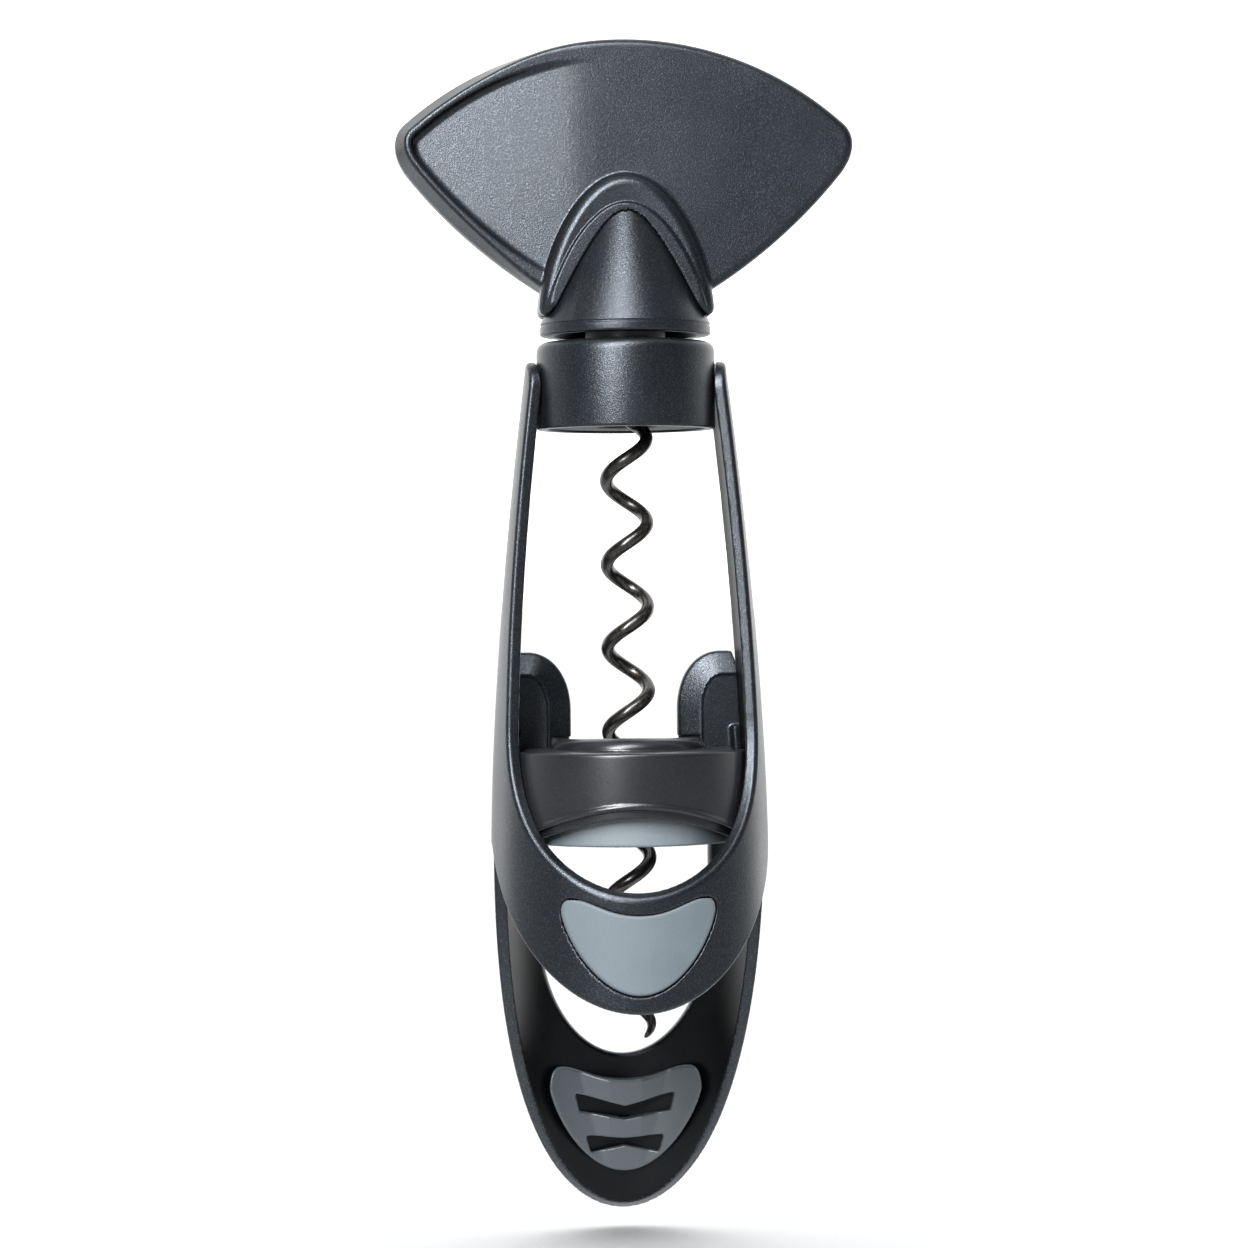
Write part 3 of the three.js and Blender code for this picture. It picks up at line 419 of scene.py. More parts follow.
@dataclass(frozen=True)
class Finish:
    """One material's colours, sizes and shine. Lengths are in millimetres."""

    name: str
    base: str
    fleck: str
    pattern: Pattern
    metallic: float
    smooth_rough: float
    dull_rough: float
    grain: float
    grain_height: float
    grain_strength: float
    cloud: float
    fleck_share: float
    coat: float = 0.0
    coat_rough: float = 0.2
    sheen: float = 0.0
    wear: float = 0.0


# The shell's pearl plastic, moulded in a spark-cut tool: dark blue-grey with small lighter flecks, so its
# lights break up into grains. The flakes in it mirror much as a metal does, which the metallic value gives.
PEARL = Finish(
    "pearl_charcoal_plastic", "#202327", "#50575e", Pattern.SPARK, 0.8, 0.29, 0.33,
    0.26, 0.045, 0.95, 14.0, 0.3, wear=0.2,
)
# The same plastic on inner parts: fewer and fainter flecks and a flatter grain, so the ring looks plain.
INNER = Finish(
    "satin_charcoal_plastic", "#222326", "#383a3e", Pattern.SPARK, 0.6, 0.27, 0.31,
    0.28, 0.025, 0.6, 12.0, 0.25, wear=0.15,
)
# The insides of the two mouldings, painted near black: painted shade for the hollow of each shell behind its
# bright edges.
PAINTED_SHADE_LINING = Finish(
    "painted_shade_charcoal_lining", "#111214", "#1b1c1f", Pattern.SPARK, 0.9, 0.3, 0.38,
    0.36, 0.01, 0.3, 12.0, 0.2,
)
# The same plastic left dull on the collar's floor, which is only seen edge on and stays grey there.
DULL = Finish(
    "dull_charcoal_plastic", "#2b2c2f", "#3a3c40", Pattern.SPARK, 0.0, 0.62, 0.7,
    0.36, 0.02, 0.5, 12.0, 0.25,
)
# Grip rubber: flat blue-grey with no hard light on it.
RUBBER = Finish(
    "blue_grey_grip_rubber", "#424b51", "#4d565c", Pattern.SOFT, 0.0, 0.56, 0.68,
    0.22, 0.010, 0.35, 7.0, 0.5, sheen=0.12, wear=0.15,
)
# The rear pad is the same rubber from a polished mould, so its facets part into lighter and darker strips.
# Its colour is painted darker than the front pad's: painted shade for its place inside the rear jaw.
GLOSSY_RUBBER_PAINTED_SHADE = Finish(
    "polished_grip_rubber_painted_shade", "#2a3034", "#343b40", Pattern.SOFT, 0.0, 0.4, 0.46,
    0.22, 0.004, 0.25, 7.0, 0.5, wear=0.15,
)
# Centring ring: a light satin plastic, seen as a pale crescent under the arch.
PALE = Finish(
    "pale_satin_plastic", "#535b60", "#5f676d", Pattern.SPARK, 0.0, 0.44, 0.54,
    0.3, 0.010, 0.3, 8.0, 0.5, wear=0.1,
)
# Bearing plastic of the bush: plain near-black, smooth from sliding.
BEARING = Finish(
    "dark_bearing_plastic", "#1c1d1f", "#292b2e", Pattern.TURNED, 0.0, 0.34, 0.42,
    0.3, 0.008, 0.3, 6.0, 0.4,
)
# Worm coating: black and slippery, with thin places that let warm metal through.
COATING = Finish(
    "black_coated_wire", "#171615", "#4a433c", Pattern.DRAWN, 0.55, 0.22, 0.4,
    0.5, 0.02, 0.4, 3.2, 0.3, coat=0.25, coat_rough=0.18,
)
# Turned steel of the spindle, pins, washer and clip: bright with fine rings.
STEEL = Finish(
    "turned_steel", "#a8aaad", "#c3c5c8", Pattern.TURNED, 1.0, 0.24, 0.36,
    0.16, 0.004, 0.35, 5.0, 0.5,
)


# Where the grain's and the cloud's noise, from 0 to 1, start and stop to act.
FLECK_NOISE = (0.5, 0.66)
SHADE_NOISE = (0.3, 0.7)
SHADE_VALUES = (0.95, 1.05)
ROUGH_NOISE = (0.35, 0.65)
WORN_POINTINESS = (0.53, 0.62)


def linear(hex_colour: str) -> tuple[float, float, float, float]:
    """Turn an sRGB hex colour into linear light.

    Args:
        hex_colour: the colour as #rrggbb.

    Returns:
        Red, green and blue in linear light, and an alpha of 1.
    """
    parts = [int(hex_colour[i:i + 2], 16) / 255 for i in (1, 3, 5)]
    light = [p / 12.92 if p <= 0.04045 else ((p + 0.055) / 1.055) ** 2.4 for p in parts]
    return (*light, 1.0)


def add_node(
    tree: bpy.types.NodeTree, kind: str, settings: dict | None = None, inputs: dict | None = None
) -> bpy.types.Node:
    """Add a node with its settings, values and links.

    Args:
        tree: the node tree.
        kind: the node's type name.
        settings: properties to set on the node.
        inputs: by socket name or number, a value or the output socket that feeds it.

    Returns:
        The new node.
    """
    node = tree.nodes.new(kind)
    for name, value in (settings or {}).items():
        setattr(node, name, value)
    for socket, value in (inputs or {}).items():
        if isinstance(value, bpy.types.NodeSocket):
            tree.links.new(value, node.inputs[socket])
        else:
            node.inputs[socket].default_value = value
    return node


class MaterialShop:
    """Makes each finish's material once."""

    def __init__(self) -> None:
        self.made: dict[str, bpy.types.Material] = {}

    def get(self, finish: Finish, worn_edges: bool = True) -> bpy.types.Material:
        """Give a finish's material.

        Args:
            finish: the finish.
            worn_edges: whether the mesh is fine enough to show wear along its edges.

        Returns:
            The material, made on first use.
        """
        name = finish.name if worn_edges else f"{finish.name}_plain"
        if name not in self.made:
            self.made[name] = self._build(name, finish, worn_edges and finish.wear > 0)
        return self.made[name]

    def _build(self, name: str, finish: Finish, worn: bool) -> bpy.types.Material:
        """Build the node tree of one finish.

        Args:
            name: the material's name.
            finish: the finish.
            worn: whether edges are worn.

        Returns:
            The new material.
        """
        material = bpy.data.materials.new(name)
        material.use_nodes = True
        tree = material.node_tree
        tree.nodes.clear()
        place = add_node(tree, "ShaderNodeTexCoord").outputs["Object"]
        stretch = {
            Pattern.SPARK: (1, 1, 1), Pattern.SOFT: (1, 1, 1),
            Pattern.DRAWN: (1, 1, 0.35), Pattern.TURNED: (0.12, 0.12, 1),
        }[finish.pattern]
        stretched = add_node(tree, "ShaderNodeMapping", {"vector_type": "TEXTURE"},
                             {"Vector": place, "Scale": tuple(1 / s for s in stretch)}).outputs["Vector"]
        grain = add_node(tree, "ShaderNodeTexNoise", None,
                         {"Vector": stretched, "Scale": 1 / (finish.grain * MM), "Detail": 3.0,
                          "Roughness": 0.6}).outputs["Fac"]
        cloud = add_node(tree, "ShaderNodeTexNoise", None,
                         {"Vector": place, "Scale": 1 / (finish.cloud * MM), "Detail": 4.0,
                          "Roughness": 0.55}).outputs["Fac"]
        fleck = add_node(tree, "ShaderNodeMapRange", {"interpolation_type": "SMOOTHSTEP"},
                         {"Value": grain, "From Min": FLECK_NOISE[0], "From Max": FLECK_NOISE[1],
                          "To Min": 0.0, "To Max": finish.fleck_share}).outputs["Result"]
        colour = add_node(tree, "ShaderNodeMix", {"data_type": "RGBA"},
                          {"Factor": fleck, "A": linear(finish.base), "B": linear(finish.fleck)})
        shade = add_node(tree, "ShaderNodeMapRange", None,
                         {"Value": cloud, "From Min": SHADE_NOISE[0], "From Max": SHADE_NOISE[1],
                          "To Min": SHADE_VALUES[0], "To Max": SHADE_VALUES[1]}).outputs["Result"]
        toned = add_node(tree, "ShaderNodeHueSaturation", None,
                         {"Color": colour.outputs["Result"], "Value": shade}).outputs["Color"]
        rough = add_node(tree, "ShaderNodeMapRange", None,
                         {"Value": cloud, "From Min": ROUGH_NOISE[0], "From Max": ROUGH_NOISE[1],
                          "To Min": finish.smooth_rough, "To Max": finish.dull_rough}).outputs["Result"]
        if worn:
            edge = add_node(tree, "ShaderNodeNewGeometry").outputs["Pointiness"]
            rub = add_node(tree, "ShaderNodeMapRange", {"interpolation_type": "SMOOTHSTEP"},
                           {"Value": edge, "From Min": WORN_POINTINESS[0],
                            "From Max": WORN_POINTINESS[1], "To Min": 0.0,
                            "To Max": finish.wear}).outputs["Result"]
            patchy = add_node(tree, "ShaderNodeMath", {"operation": "MULTIPLY"},
                              {0: rub, 1: cloud}).outputs["Value"]
            toned = add_node(tree, "ShaderNodeMix", {"data_type": "RGBA"},
                             {"Factor": patchy, "A": toned, "B": linear(finish.fleck)}).outputs["Result"]
        bump = add_node(tree, "ShaderNodeBump", None,
                        {"Height": grain, "Strength": finish.grain_strength,
                         "Distance": finish.grain_height * MM}).outputs["Normal"]
        shader = add_node(tree, "ShaderNodeBsdfPrincipled", None,
                          {"Base Color": toned, "Roughness": rough, "Normal": bump,
                           "Metallic": finish.metallic, "Coat Weight": finish.coat,
                           "Coat Roughness": finish.coat_rough, "Sheen Weight": finish.sheen})
        add_node(tree, "ShaderNodeOutputMaterial", None, {"Surface": shader.outputs["BSDF"]})
        return material


# ---- Shared shapes ----

@dataclass(frozen=True)
class Barrel:
    """The barrel's skin, which the frame, the rear jaw and the ring are cut from."""

    seat_radius: float = 25.0
    shoulder_inset: float = 7.0
    bend_share: float = 1.6
    lean_share: float = 0.7
    arm_top: float = 87.2
    wall: float = 2.3
    fit: float = 0.3
    hinge_height: float = 8.5
    pin_hole: float = 1.8
    # A distance from the axis outside every piece, where the outlines of cut-away spaces end.
    beyond: float = 29.0

    def radius(self, height: float) -> float:
        """Radius of the skin.

        Args:
            height: where to read it.

        Returns:
            The radius there.
        """
        return self.seat_radius - self.shoulder_inset * (max(height, 0) / self.arm_top) ** self.bend_share

    def distance(self, x: np.ndarray, y: np.ndarray, z: np.ndarray, inset: float) -> np.ndarray:
        """Signed distance to the skin, drawn in by an inset.

        Args:
            x, y, z: places.
            inset: how far the skin is drawn in.

        Returns:
            The distance, negative nearer the axis.
        """
        share = np.maximum(z, 0) / self.arm_top
        radius = self.seat_radius - self.shoulder_inset * share**self.bend_share - inset
        lean = self.shoulder_inset * self.bend_share * share ** (self.bend_share - 1) / self.arm_top
        return (np.hypot(x, y) - radius) / np.sqrt(1 + lean**2)

    def leaned(self, x: np.ndarray, y: np.ndarray, z: np.ndarray) -> np.ndarray:
        """Depth at which a side outline is read, so that edges are cut half way to the radius.

        Args:
            x, y, z: places.

        Returns:
            The depth, equal to y on the skin.
        """
        share = np.maximum(z, 0) / self.arm_top
        radius = self.seat_radius - self.shoulder_inset * share**self.bend_share
        return y * (radius / np.maximum(np.hypot(x, y), 0.8 * radius)) ** self.lean_share

    def pin_holes(self, x: np.ndarray, y: np.ndarray, z: np.ndarray, reach: float) -> np.ndarray:
        """Signed distance to the round hole of the hinge pins.

        Args:
            x, y, z: places.
            reach: how far the hole runs out on each side.

        Returns:
            The distance, negative in the hole.
        """
        return np.maximum(np.hypot(y, z - self.hinge_height) - self.pin_hole, np.abs(x) - reach)


BARREL = Barrel()


@dataclass(frozen=True)
class Shield:
    """Outline of a grip pad: a dipped top edge and convex sides that meet in a rounded tip."""

    half_width: float
    widest: float
    corner_top: float
    corner: float
    dip: float
    elbow: Point
    tip_half: float
    bottom: float
    dip_shares: tuple[float, float] = (0.45, 0.62)

    def points(self) -> list[Point]:
        """Corners of the outline.

        Returns:
            The points in order, for an Outline.
        """
        half, bottom = self.half_width, self.bottom
        near, far = (half * share for share in self.dip_shares)
        shoulder = (half - self.corner, self.corner_top)
        right = [
            *cubic((0, self.dip), (near, self.dip), (far, self.corner_top), shoulder),
            *quadratic(shoulder, (half, self.corner_top), (half, self.widest)),
            *cubic((half, self.widest), self.elbow, (self.tip_half, bottom), (0, bottom), 40),
        ]
        left = [(-u, v) for u, v in reversed(right[1:])]
        return [*right, (0, bottom), *left]


class SubAssembly:
    """A group of pieces that ride on one body of the model."""

    body = ""
    make_sizes: Callable[[], object]

    def __init__(self, shop: MaterialShop) -> None:
        """Keep the shop and the sizes.

        Args:
            shop: where finishes come from.
        """
        self.shop = shop
        self.sizes = type(self).make_sizes()
        self.draw()

    def draw(self) -> None:
        """Prepare the outlines that the fields read."""

    def build(self) -> None:
        """Make the pieces and dress them."""
        raise NotImplementedError

    def dress(self, piece: bpy.types.Object, finish: Finish, slot: str, *nodes: str) -> bpy.types.Object:
        """Give a piece its finish and its place in the model.

        Args:
            piece: the piece.
            finish: its finish.
            slot: the record's material slot; not used.
            nodes: the model's nodes that it stands for.

        Returns:
            The same piece.
        """
        piece.data.materials.append(self.shop.get(finish))
        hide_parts(*nodes)
        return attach(piece, self.body)

    def paint_inner_shade(self, piece: bpy.types.Object, finish: Finish, top: float) -> None:
        """Give the faces that look at the worm's axis a darker finish of their own, which paints shade inside
        the shell.

        Args:
            piece: a shell about the axis.
            finish: the darker finish of its inside, painted shade.
            top: the height up to which the inside is lined.
        """
        piece.data.materials.append(self.shop.get(finish))
        count = len(piece.data.polygons)
        centres, normals = np.zeros(count * 3), np.zeros(count * 3)
        piece.data.polygons.foreach_get("center", centres)
        piece.data.polygons.foreach_get("normal", normals)
        centres, normals = centres.reshape(-1, 3), normals.reshape(-1, 3)
        reach = np.maximum(np.hypot(centres[:, 0], centres[:, 1]), MM)
        outward = (centres[:, :2] * normals[:, :2]).sum(1) / reach
        # Faces turned to the axis, below the top, take the darker finish: painted shade.
        inner = (outward < -0.85) & (centres[:, 2] < top * MM)
        piece.data.polygons.foreach_set("material_index", inner.astype(np.int32))


# ---- Frame and front pad ----

@dataclass(frozen=True)
class FrameSizes:
    """Sizes of the frame and of the pad in its front jaw."""

    arm_top_round: float = 5.4
    arm_top_half: float = 6.2
    arm_front: float = 9.4
    arm_bow: float = 0.6
    arm_bulge: float = 0.6
    window_shares: tuple[Point, Point] = ((0.04, 0.46), (0.61, 0.78))
    lip_overrun: float = 4.0
    bend_height: float = 24.0
    sill_depth: float = 23.8
    sill_height: float = -6.1
    sill_run: float = 5.0
    sill_fall: float = 6.2
    lip_drop: float = 28.2
    notch_turn: float = math.radians(10)
    collar_radius: float = 16.1
    collar_bottom: float = 75.0
    pad: Shield = Shield(13.45, -10.3, -8.0, 1.6, -10.85, (12.2, -16.5), 6.5, -24.6)
    pad_ledge: float = 1.4
    pad_trap: float = 1.1
    pad_reach: float = 3.6
    pad_grow: float = 0.14
    pad_sink: float = 0.12
    pad_edge: float = 0.55
    plug_edge: float = 0.4
    plug_back_edge: float = 0.8
    pad_back: float = 12.0
    pin_wall: float = 0.95
    edge: float = 0.72
    inner_edge: float = 0.5
    small_edge: float = 0.25
    step: float = 0.36
    pad_step: float = 0.28


class Frame(SubAssembly):
    """Two arms and the short front jaw, with its grip pad."""

    body = "body"
    make_sizes = FrameSizes

    def draw(self) -> None:
        """Prepare the outlines of the side and of the pad."""
        self.side = Outline(self._side_points())
        self.shield = Outline(self.sizes.pad.points())

    def _side_points(self) -> list[Point]:
        """Corners of the frame's side outline, as (y, z).

        Returns:
            The points in order.
        """
        s = self.sizes
        far = BARREL.beyond
        hinge = BARREL.hinge_height
        notch = (-hinge * math.sin(s.notch_turn), hinge - hinge * math.cos(s.notch_turn))
        lean = (notch[1] + s.lip_drop) / (BARREL.seat_radius + notch[0])
        top, shoulder = BARREL.arm_top, BARREL.arm_top - s.arm_top_round
        half = s.arm_top_half
        bulge = between(shoulder, top, s.arm_bulge)
        bend, sill = (-s.arm_front, s.bend_height), (-s.sill_depth, s.sill_height)
        pulls = [(between(bend[0], sill[0], u), between(bend[1], sill[1], v)) for u, v in s.window_shares]
        return [
            *quadratic((-half, shoulder), (-half - s.arm_bow, between(shoulder, s.bend_height, 0.5)), bend),
            *cubic(bend, *pulls, sill, 60),
            sill,
            (-s.sill_depth - s.sill_run, s.sill_height - s.sill_fall),
            (-far, -s.lip_drop - lean * s.lip_overrun),
            *arc((0, hinge), hinge, -math.pi / 2 - s.notch_turn, 0, 40),
            *cubic((half, shoulder), (half, bulge), (half * s.arm_bulge, top), (0, top)),
            *cubic((0, top), (-half * s.arm_bulge, top), (-half, bulge), (-half, shoulder)),
        ]

    def frame_field(self, x: np.ndarray, y: np.ndarray, z: np.ndarray) -> np.ndarray:
        """Signed distance to the frame.

        Args:
            x, y, z: places.

        Returns:
            The distance at each place.
        """
        s = self.sizes
        body = round_max(BARREL.distance(x, y, z, 0), self.side(BARREL.leaned(x, y, z), z), s.edge)
        body = round_max(body, -BARREL.distance(x, y, z, BARREL.wall), s.inner_edge)
        shield = self.shield(x, z)
        floor = -BARREL.distance(x, y, z, s.pad_trap + BARREL.fit)
        recess = np.maximum(np.maximum(shield - BARREL.fit, floor), y)
        hole = np.maximum(shield + s.pad_ledge - BARREL.fit, y)
        body = round_max(body, -np.minimum(recess, hole), s.small_edge)
        room = np.maximum(np.hypot(x, y) - s.collar_radius - BARREL.fit, s.collar_bottom - BARREL.fit - z)
        body = round_max(body, -room, s.small_edge)
        pins = BARREL.pin_holes(x, y, z, BARREL.radius(BARREL.hinge_height) - s.pin_wall)
        return np.maximum(body, -pins)

    def pad_field(self, x: np.ndarray, y: np.ndarray, z: np.ndarray) -> np.ndarray:
        """Signed distance to the front grip pad.

        Args:
            x, y, z: places.

        Returns:
            The distance at each place.
        """
        s = self.sizes
        shield = self.shield(x, z)
        face = round_max(BARREL.distance(x, y, z, s.pad_sink), shield - s.pad_grow, s.pad_edge)
        face = np.maximum(face, -BARREL.distance(x, y, z, s.pad_trap))
        plug = round_max(BARREL.distance(x, y, z, s.pad_trap / 2), shield + s.pad_ledge, s.plug_edge)
        plug = round_max(plug, -BARREL.distance(x, y, z, BARREL.wall + s.pad_reach), s.plug_back_edge)
        return np.maximum(np.minimum(face, plug), y + s.pad_back)

    def build(self) -> None:
        """Make the frame and its pad."""
        s = self.sizes
        frame_piece = carve("frame_shell", self.frame_field, (-25.2, -25.2, -29.6), (25.2, 8.8, 87.4), s.step)
        self.dress(frame_piece, PEARL, "charcoal_shell", "frame")
        # The frame's inner faces take the darker lining: painted shade.
        self.paint_inner_shade(frame_piece, PAINTED_SHADE_LINING, BARREL.arm_top)
        pad = carve("front_pad", self.pad_field, (-13.6, -25.2, -25.2), (13.6, -12.5, -8.4), s.pad_step)
        self.dress(pad, RUBBER, "grip_pad", "front_grip_pad")


# ---- Rear jaw and rear pad ----

@dataclass(frozen=True)
class Slot:
    """Outline of one slot across the rear pad: it dips in the middle, and its foot may dip or rise."""

    top: float
    foot: float
    top_half: float
    foot_half: float
    top_dip: float
    foot_dip: float
    top_round: float = 0.3
    foot_round: float = 0.5
    dip_round: float = 1.2

    def points(self) -> list[Point]:
        """Corners of the outline, as (x, z).

        Returns:
            The points in order.
        """
        return rounded([
            (-self.top_half, self.top, self.top_round),
            (0, self.top - self.top_dip, self.dip_round),
            (self.top_half, self.top, self.top_round),
            (self.foot_half, self.foot, self.foot_round),
            (0, self.foot - self.foot_dip, self.dip_round),
            (-self.foot_half, self.foot, self.foot_round),
        ])


@dataclass(frozen=True)
class JawSizes:
    """Sizes of the swinging rear jaw and its pad."""

    lip_drop: float = 70.08
    lip_overrun: float = 8.0
    bend_shares: tuple[float, float] = (0.347, 0.5)
    inset: float = 0.4
    hinge_gap: float = 0.4
    window_half: float = 15.7
    window_bottom: float = -40.5
    window_widest: float = -15.0
    window_shares: Point = (0.52, 0.42)
    window_overrun: float = 4.0
    taper_top: float = 21.0
    prong_inner: float = 9.8
    prong_top: float = 34.8
    prong_round_width: float = 8.0
    prong_round_height: float = 10.6
    prong_fullness: float = 0.42
    prong_step: float = 0.25
    prong_foot: float = 11.0
    prong_front: float = 9.2
    prong_depth: float = 4.3
    prong_band: float = 4.4
    prong_fall: float = 2.0
    prong_sink: float = 0.45
    hoop_radius: float = 16.2
    ring_top: float = 19.2
    lug_inner: float = 19.49
    lug_outer: float = 21.59
    lug_radius: float = 6.3
    strap_foot: float = 4.0
    pad: Shield = Shield(14.1, -46.4, -42.2, 2.0, -45.0, (12.9, -52.0), 7.4, -62.2)
    pad_front: float = 17.0
    pad_lean: float = 0.18
    pad_border: float = 1.3
    facet_half: float = 3.05
    facet_slope: float = 0.34
    slots: tuple[Slot, Slot] = (
        Slot(-47.4, -50.8, 9.2, 8.4, 2.5, 1.6),
        Slot(-55.4, -58.6, 7.2, 6.3, 0.6, -1.2),
    )
    slot_cell: float = 0.08
    pad_cell: float = 0.1
    peg_height: float = -53.6
    peg_radius: float = 1.1
    peg_root: float = 20.4
    peg_end: float = 23.8
    peg_hole_end: float = 24.13
    setback: float = 0.7
    web_setback: float = 0.7
    edge: float = 0.72
    lip_edge: float = 0.4
    inner_edge: float = 0.5
    prong_edge: float = 0.45
    prong_side_edge: float = 0.4
    small_edge: float = 0.3
    pad_edge: float = 0.5
    fillet: float = 0.5
    step: float = 0.38
    pad_step: float = 0.26


class RearJaw(SubAssembly):
    """The long rear jaw with its window, prongs and lugs, and its ribbed pad."""

    body = "swinging_jaw"
    make_sizes = JawSizes

    def draw(self) -> None:
        """Prepare the outlines of the side, the window, the prongs, the lugs, the pad and its slots."""
        s = self.sizes
        self.side = Outline(self._side_points())
        self.window = Outline(self._window_points())
        self.prong = Outline(self._prong_points())
        self.lug = Outline(self._lug_points())
        self.shield = Outline(s.pad.points(), s.pad_cell)
        self.slots = [Outline(slot.points(), s.slot_cell) for slot in s.slots]

    def _side_points(self) -> list[Point]:
        """Corners of the jaw's side outline, as (y, z).

        Returns:
            The points in order.
        """
        s = self.sizes
        seat, hinge = BARREL.seat_radius, BARREL.hinge_height
        near = hinge + s.hinge_gap
        far = BARREL.beyond
        return [
            *quadratic((0, hinge - near), (seat * s.bend_shares[0], -s.lip_drop * s.bend_shares[1]),
                       (seat, -s.lip_drop), 60),
            (seat, -s.lip_drop),
            (far, -s.lip_drop - s.lip_overrun),
            (far, -BARREL.fit),
            (s.prong_front + s.prong_depth, s.taper_top),
            (s.prong_front, s.taper_top),
            *arc((0, hinge), near, 0, -math.pi / 2, 40),
        ]

    def _window_points(self) -> list[Point]:
        """Corners of the jaw's window, as (x, z).

        Returns:
            The points in order.
        """
        s = self.sizes
        half, low, wide = s.window_half, s.window_bottom, s.window_widest
        knee = between(low, wide, s.window_shares[1])
        right = cubic((0, low), (half * s.window_shares[0], low), (half, knee), (half, wide), 40)
        top = s.prong_top + s.window_overrun
        return [*right, (half, wide), (half, top), (-half, top), (-half, wide),
                *[(-u, v) for u, v in reversed(right[1:])]]

    def _prong_points(self) -> list[Point]:
        """Corners of the right prong's front outline, as (x, z).

        Returns:
            The points in order.
        """
        s = self.sizes
        inner, top = s.prong_inner, s.prong_top
        far = BARREL.beyond
        bend = (inner + s.prong_round_width, top)
        start = (inner, top - s.prong_round_height)
        return [
            (inner, s.prong_foot), (far, s.prong_foot), (far, top), bend,
            *cubic(bend, (inner + s.prong_round_width * s.prong_fullness, top),
                   (inner, top - s.prong_round_height * s.prong_fullness), start),
            start,
        ]

    def _lug_points(self) -> list[Point]:
        """Corners of a hinge lug and its strap, as (y, z).

        Returns:
            The points in order.
        """
        s = self.sizes
        back, hinge = s.prong_front + s.prong_depth, BARREL.hinge_height
        return [
            (back, s.strap_foot), (back, hinge + s.lug_radius),
            *arc((0, hinge), s.lug_radius, math.pi / 2, 3 * math.pi / 2, 40),
            (s.lug_radius / 2, s.strap_foot),
        ]

    def jaw_field(self, x: np.ndarray, y: np.ndarray, z: np.ndarray) -> np.ndarray:
        """Signed distance to the rear jaw.

        Args:
            x, y, z: places.

        Returns:
            The distance at each place.
        """
        s = self.sizes
        outer = BARREL.distance(x, y, z, s.inset)
        edge = between(s.lip_edge, s.edge, ease(-s.lip_drop, -s.lip_drop / 2, z))
        skin = round_max(outer, self.side(BARREL.leaned(x, y, z), z), edge)
        skin = round_max(skin, -BARREL.distance(x, y, z, s.inset + BARREL.wall), s.inner_edge)
        skin = round_max(skin, -np.maximum(self.window(x, z), -y), s.edge)
        across = np.abs(x)
        tab = self.prong(across, z)
        slope_share = np.clip(1 + tab / s.prong_band, 0, 1)
        sunk = s.prong_sink * ease(-s.prong_step, s.prong_step, -tab - s.prong_band)
        front = s.prong_front + s.prong_fall * slope_share + sunk - y
        front = front / math.hypot(1, s.prong_fall / s.prong_band)
        back = s.prong_front + s.prong_depth
        prongs = round_max(round_max(tab, front, s.prong_edge), y - back, s.prong_edge)
        prongs = round_max(prongs, outer, s.prong_side_edge)
        round_about = np.hypot(x, y)
        ring_room = np.maximum(round_about - s.hoop_radius - s.hinge_gap, z - s.ring_top)
        prongs = round_max(prongs, -ring_room, s.small_edge)
        lugs = np.maximum(round_about - s.lug_outer, s.lug_inner - round_about)
        lugs = round_max(lugs, self.lug(y, z), s.small_edge)
        web = np.maximum(np.maximum(s.prong_front + s.web_setback - y, y - back), outer)
        web = np.maximum(web, np.maximum(s.strap_foot - z, z - s.prong_top + s.prong_round_height))
        web = np.maximum(web, s.lug_inner - round_about)
        body = round_min(round_min(skin, prongs, s.fillet), np.minimum(lugs, web), s.small_edge)
        body = np.maximum(body, -BARREL.pin_holes(x, y, z, BARREL.beyond))
        hole = np.hypot(x, z - s.peg_height) - s.peg_radius - BARREL.fit
        hole = np.maximum(hole, np.maximum(-y, y - s.peg_hole_end))
        return np.maximum(body, -hole)

    def pad_field(self, x: np.ndarray, y: np.ndarray, z: np.ndarray) -> np.ndarray:
        """Signed distance to the rear grip pad.

        Args:
            x, y, z: places.

        Returns:
            The distance at each place.
        """
        s = self.sizes
        seat = s.inset + BARREL.wall + BARREL.fit
        facets = s.pad_front + s.pad_lean * (s.pad.corner_top - z)
        facets = facets + s.facet_slope * np.maximum(np.abs(x) - s.facet_half, 0) - y
        front = round_min(facets, -BARREL.distance(x, y, z, seat + s.pad_border), s.small_edge)
        block = round_max(np.maximum(front, BARREL.distance(x, y, z, seat)), self.shield(x, z), s.pad_edge)
        block = round_max(block, self.side(BARREL.leaned(x, y, z) - s.setback, z), s.pad_edge)
        for slot in self.slots:
            block = round_max(block, -slot(x, z), s.small_edge)
        peg = np.hypot(x, z - s.peg_height) - s.peg_radius
        return np.minimum(block, np.maximum(peg, np.maximum(s.peg_root - y, y - s.peg_end)))

    def build(self) -> None:
        """Make the jaw and its pad."""
        s = self.sizes
        jaw = carve("rear_jaw_shell", self.jaw_field, (-24.8, -6.5, -69.8), (24.8, 24.8, 35.0), s.step)
        self.dress(jaw, PEARL, "charcoal_shell", "rear_jaw")
        # The jaw's inner faces take the darker lining: painted shade.
        self.paint_inner_shade(jaw, PAINTED_SHADE_LINING, 0.0)
        pad = carve("rear_pad", self.pad_field, (-14.4, 8.0, -62.9), (14.4, 24.0, -42.0), s.pad_step)
        # The rear pad's rubber is painted darker than the front pad's: painted shade.
        self.dress(pad, GLOSSY_RUBBER_PAINTED_SHADE, "grip_pad", "rear_grip_pad")


# ---- Guide ring and centring ring ----

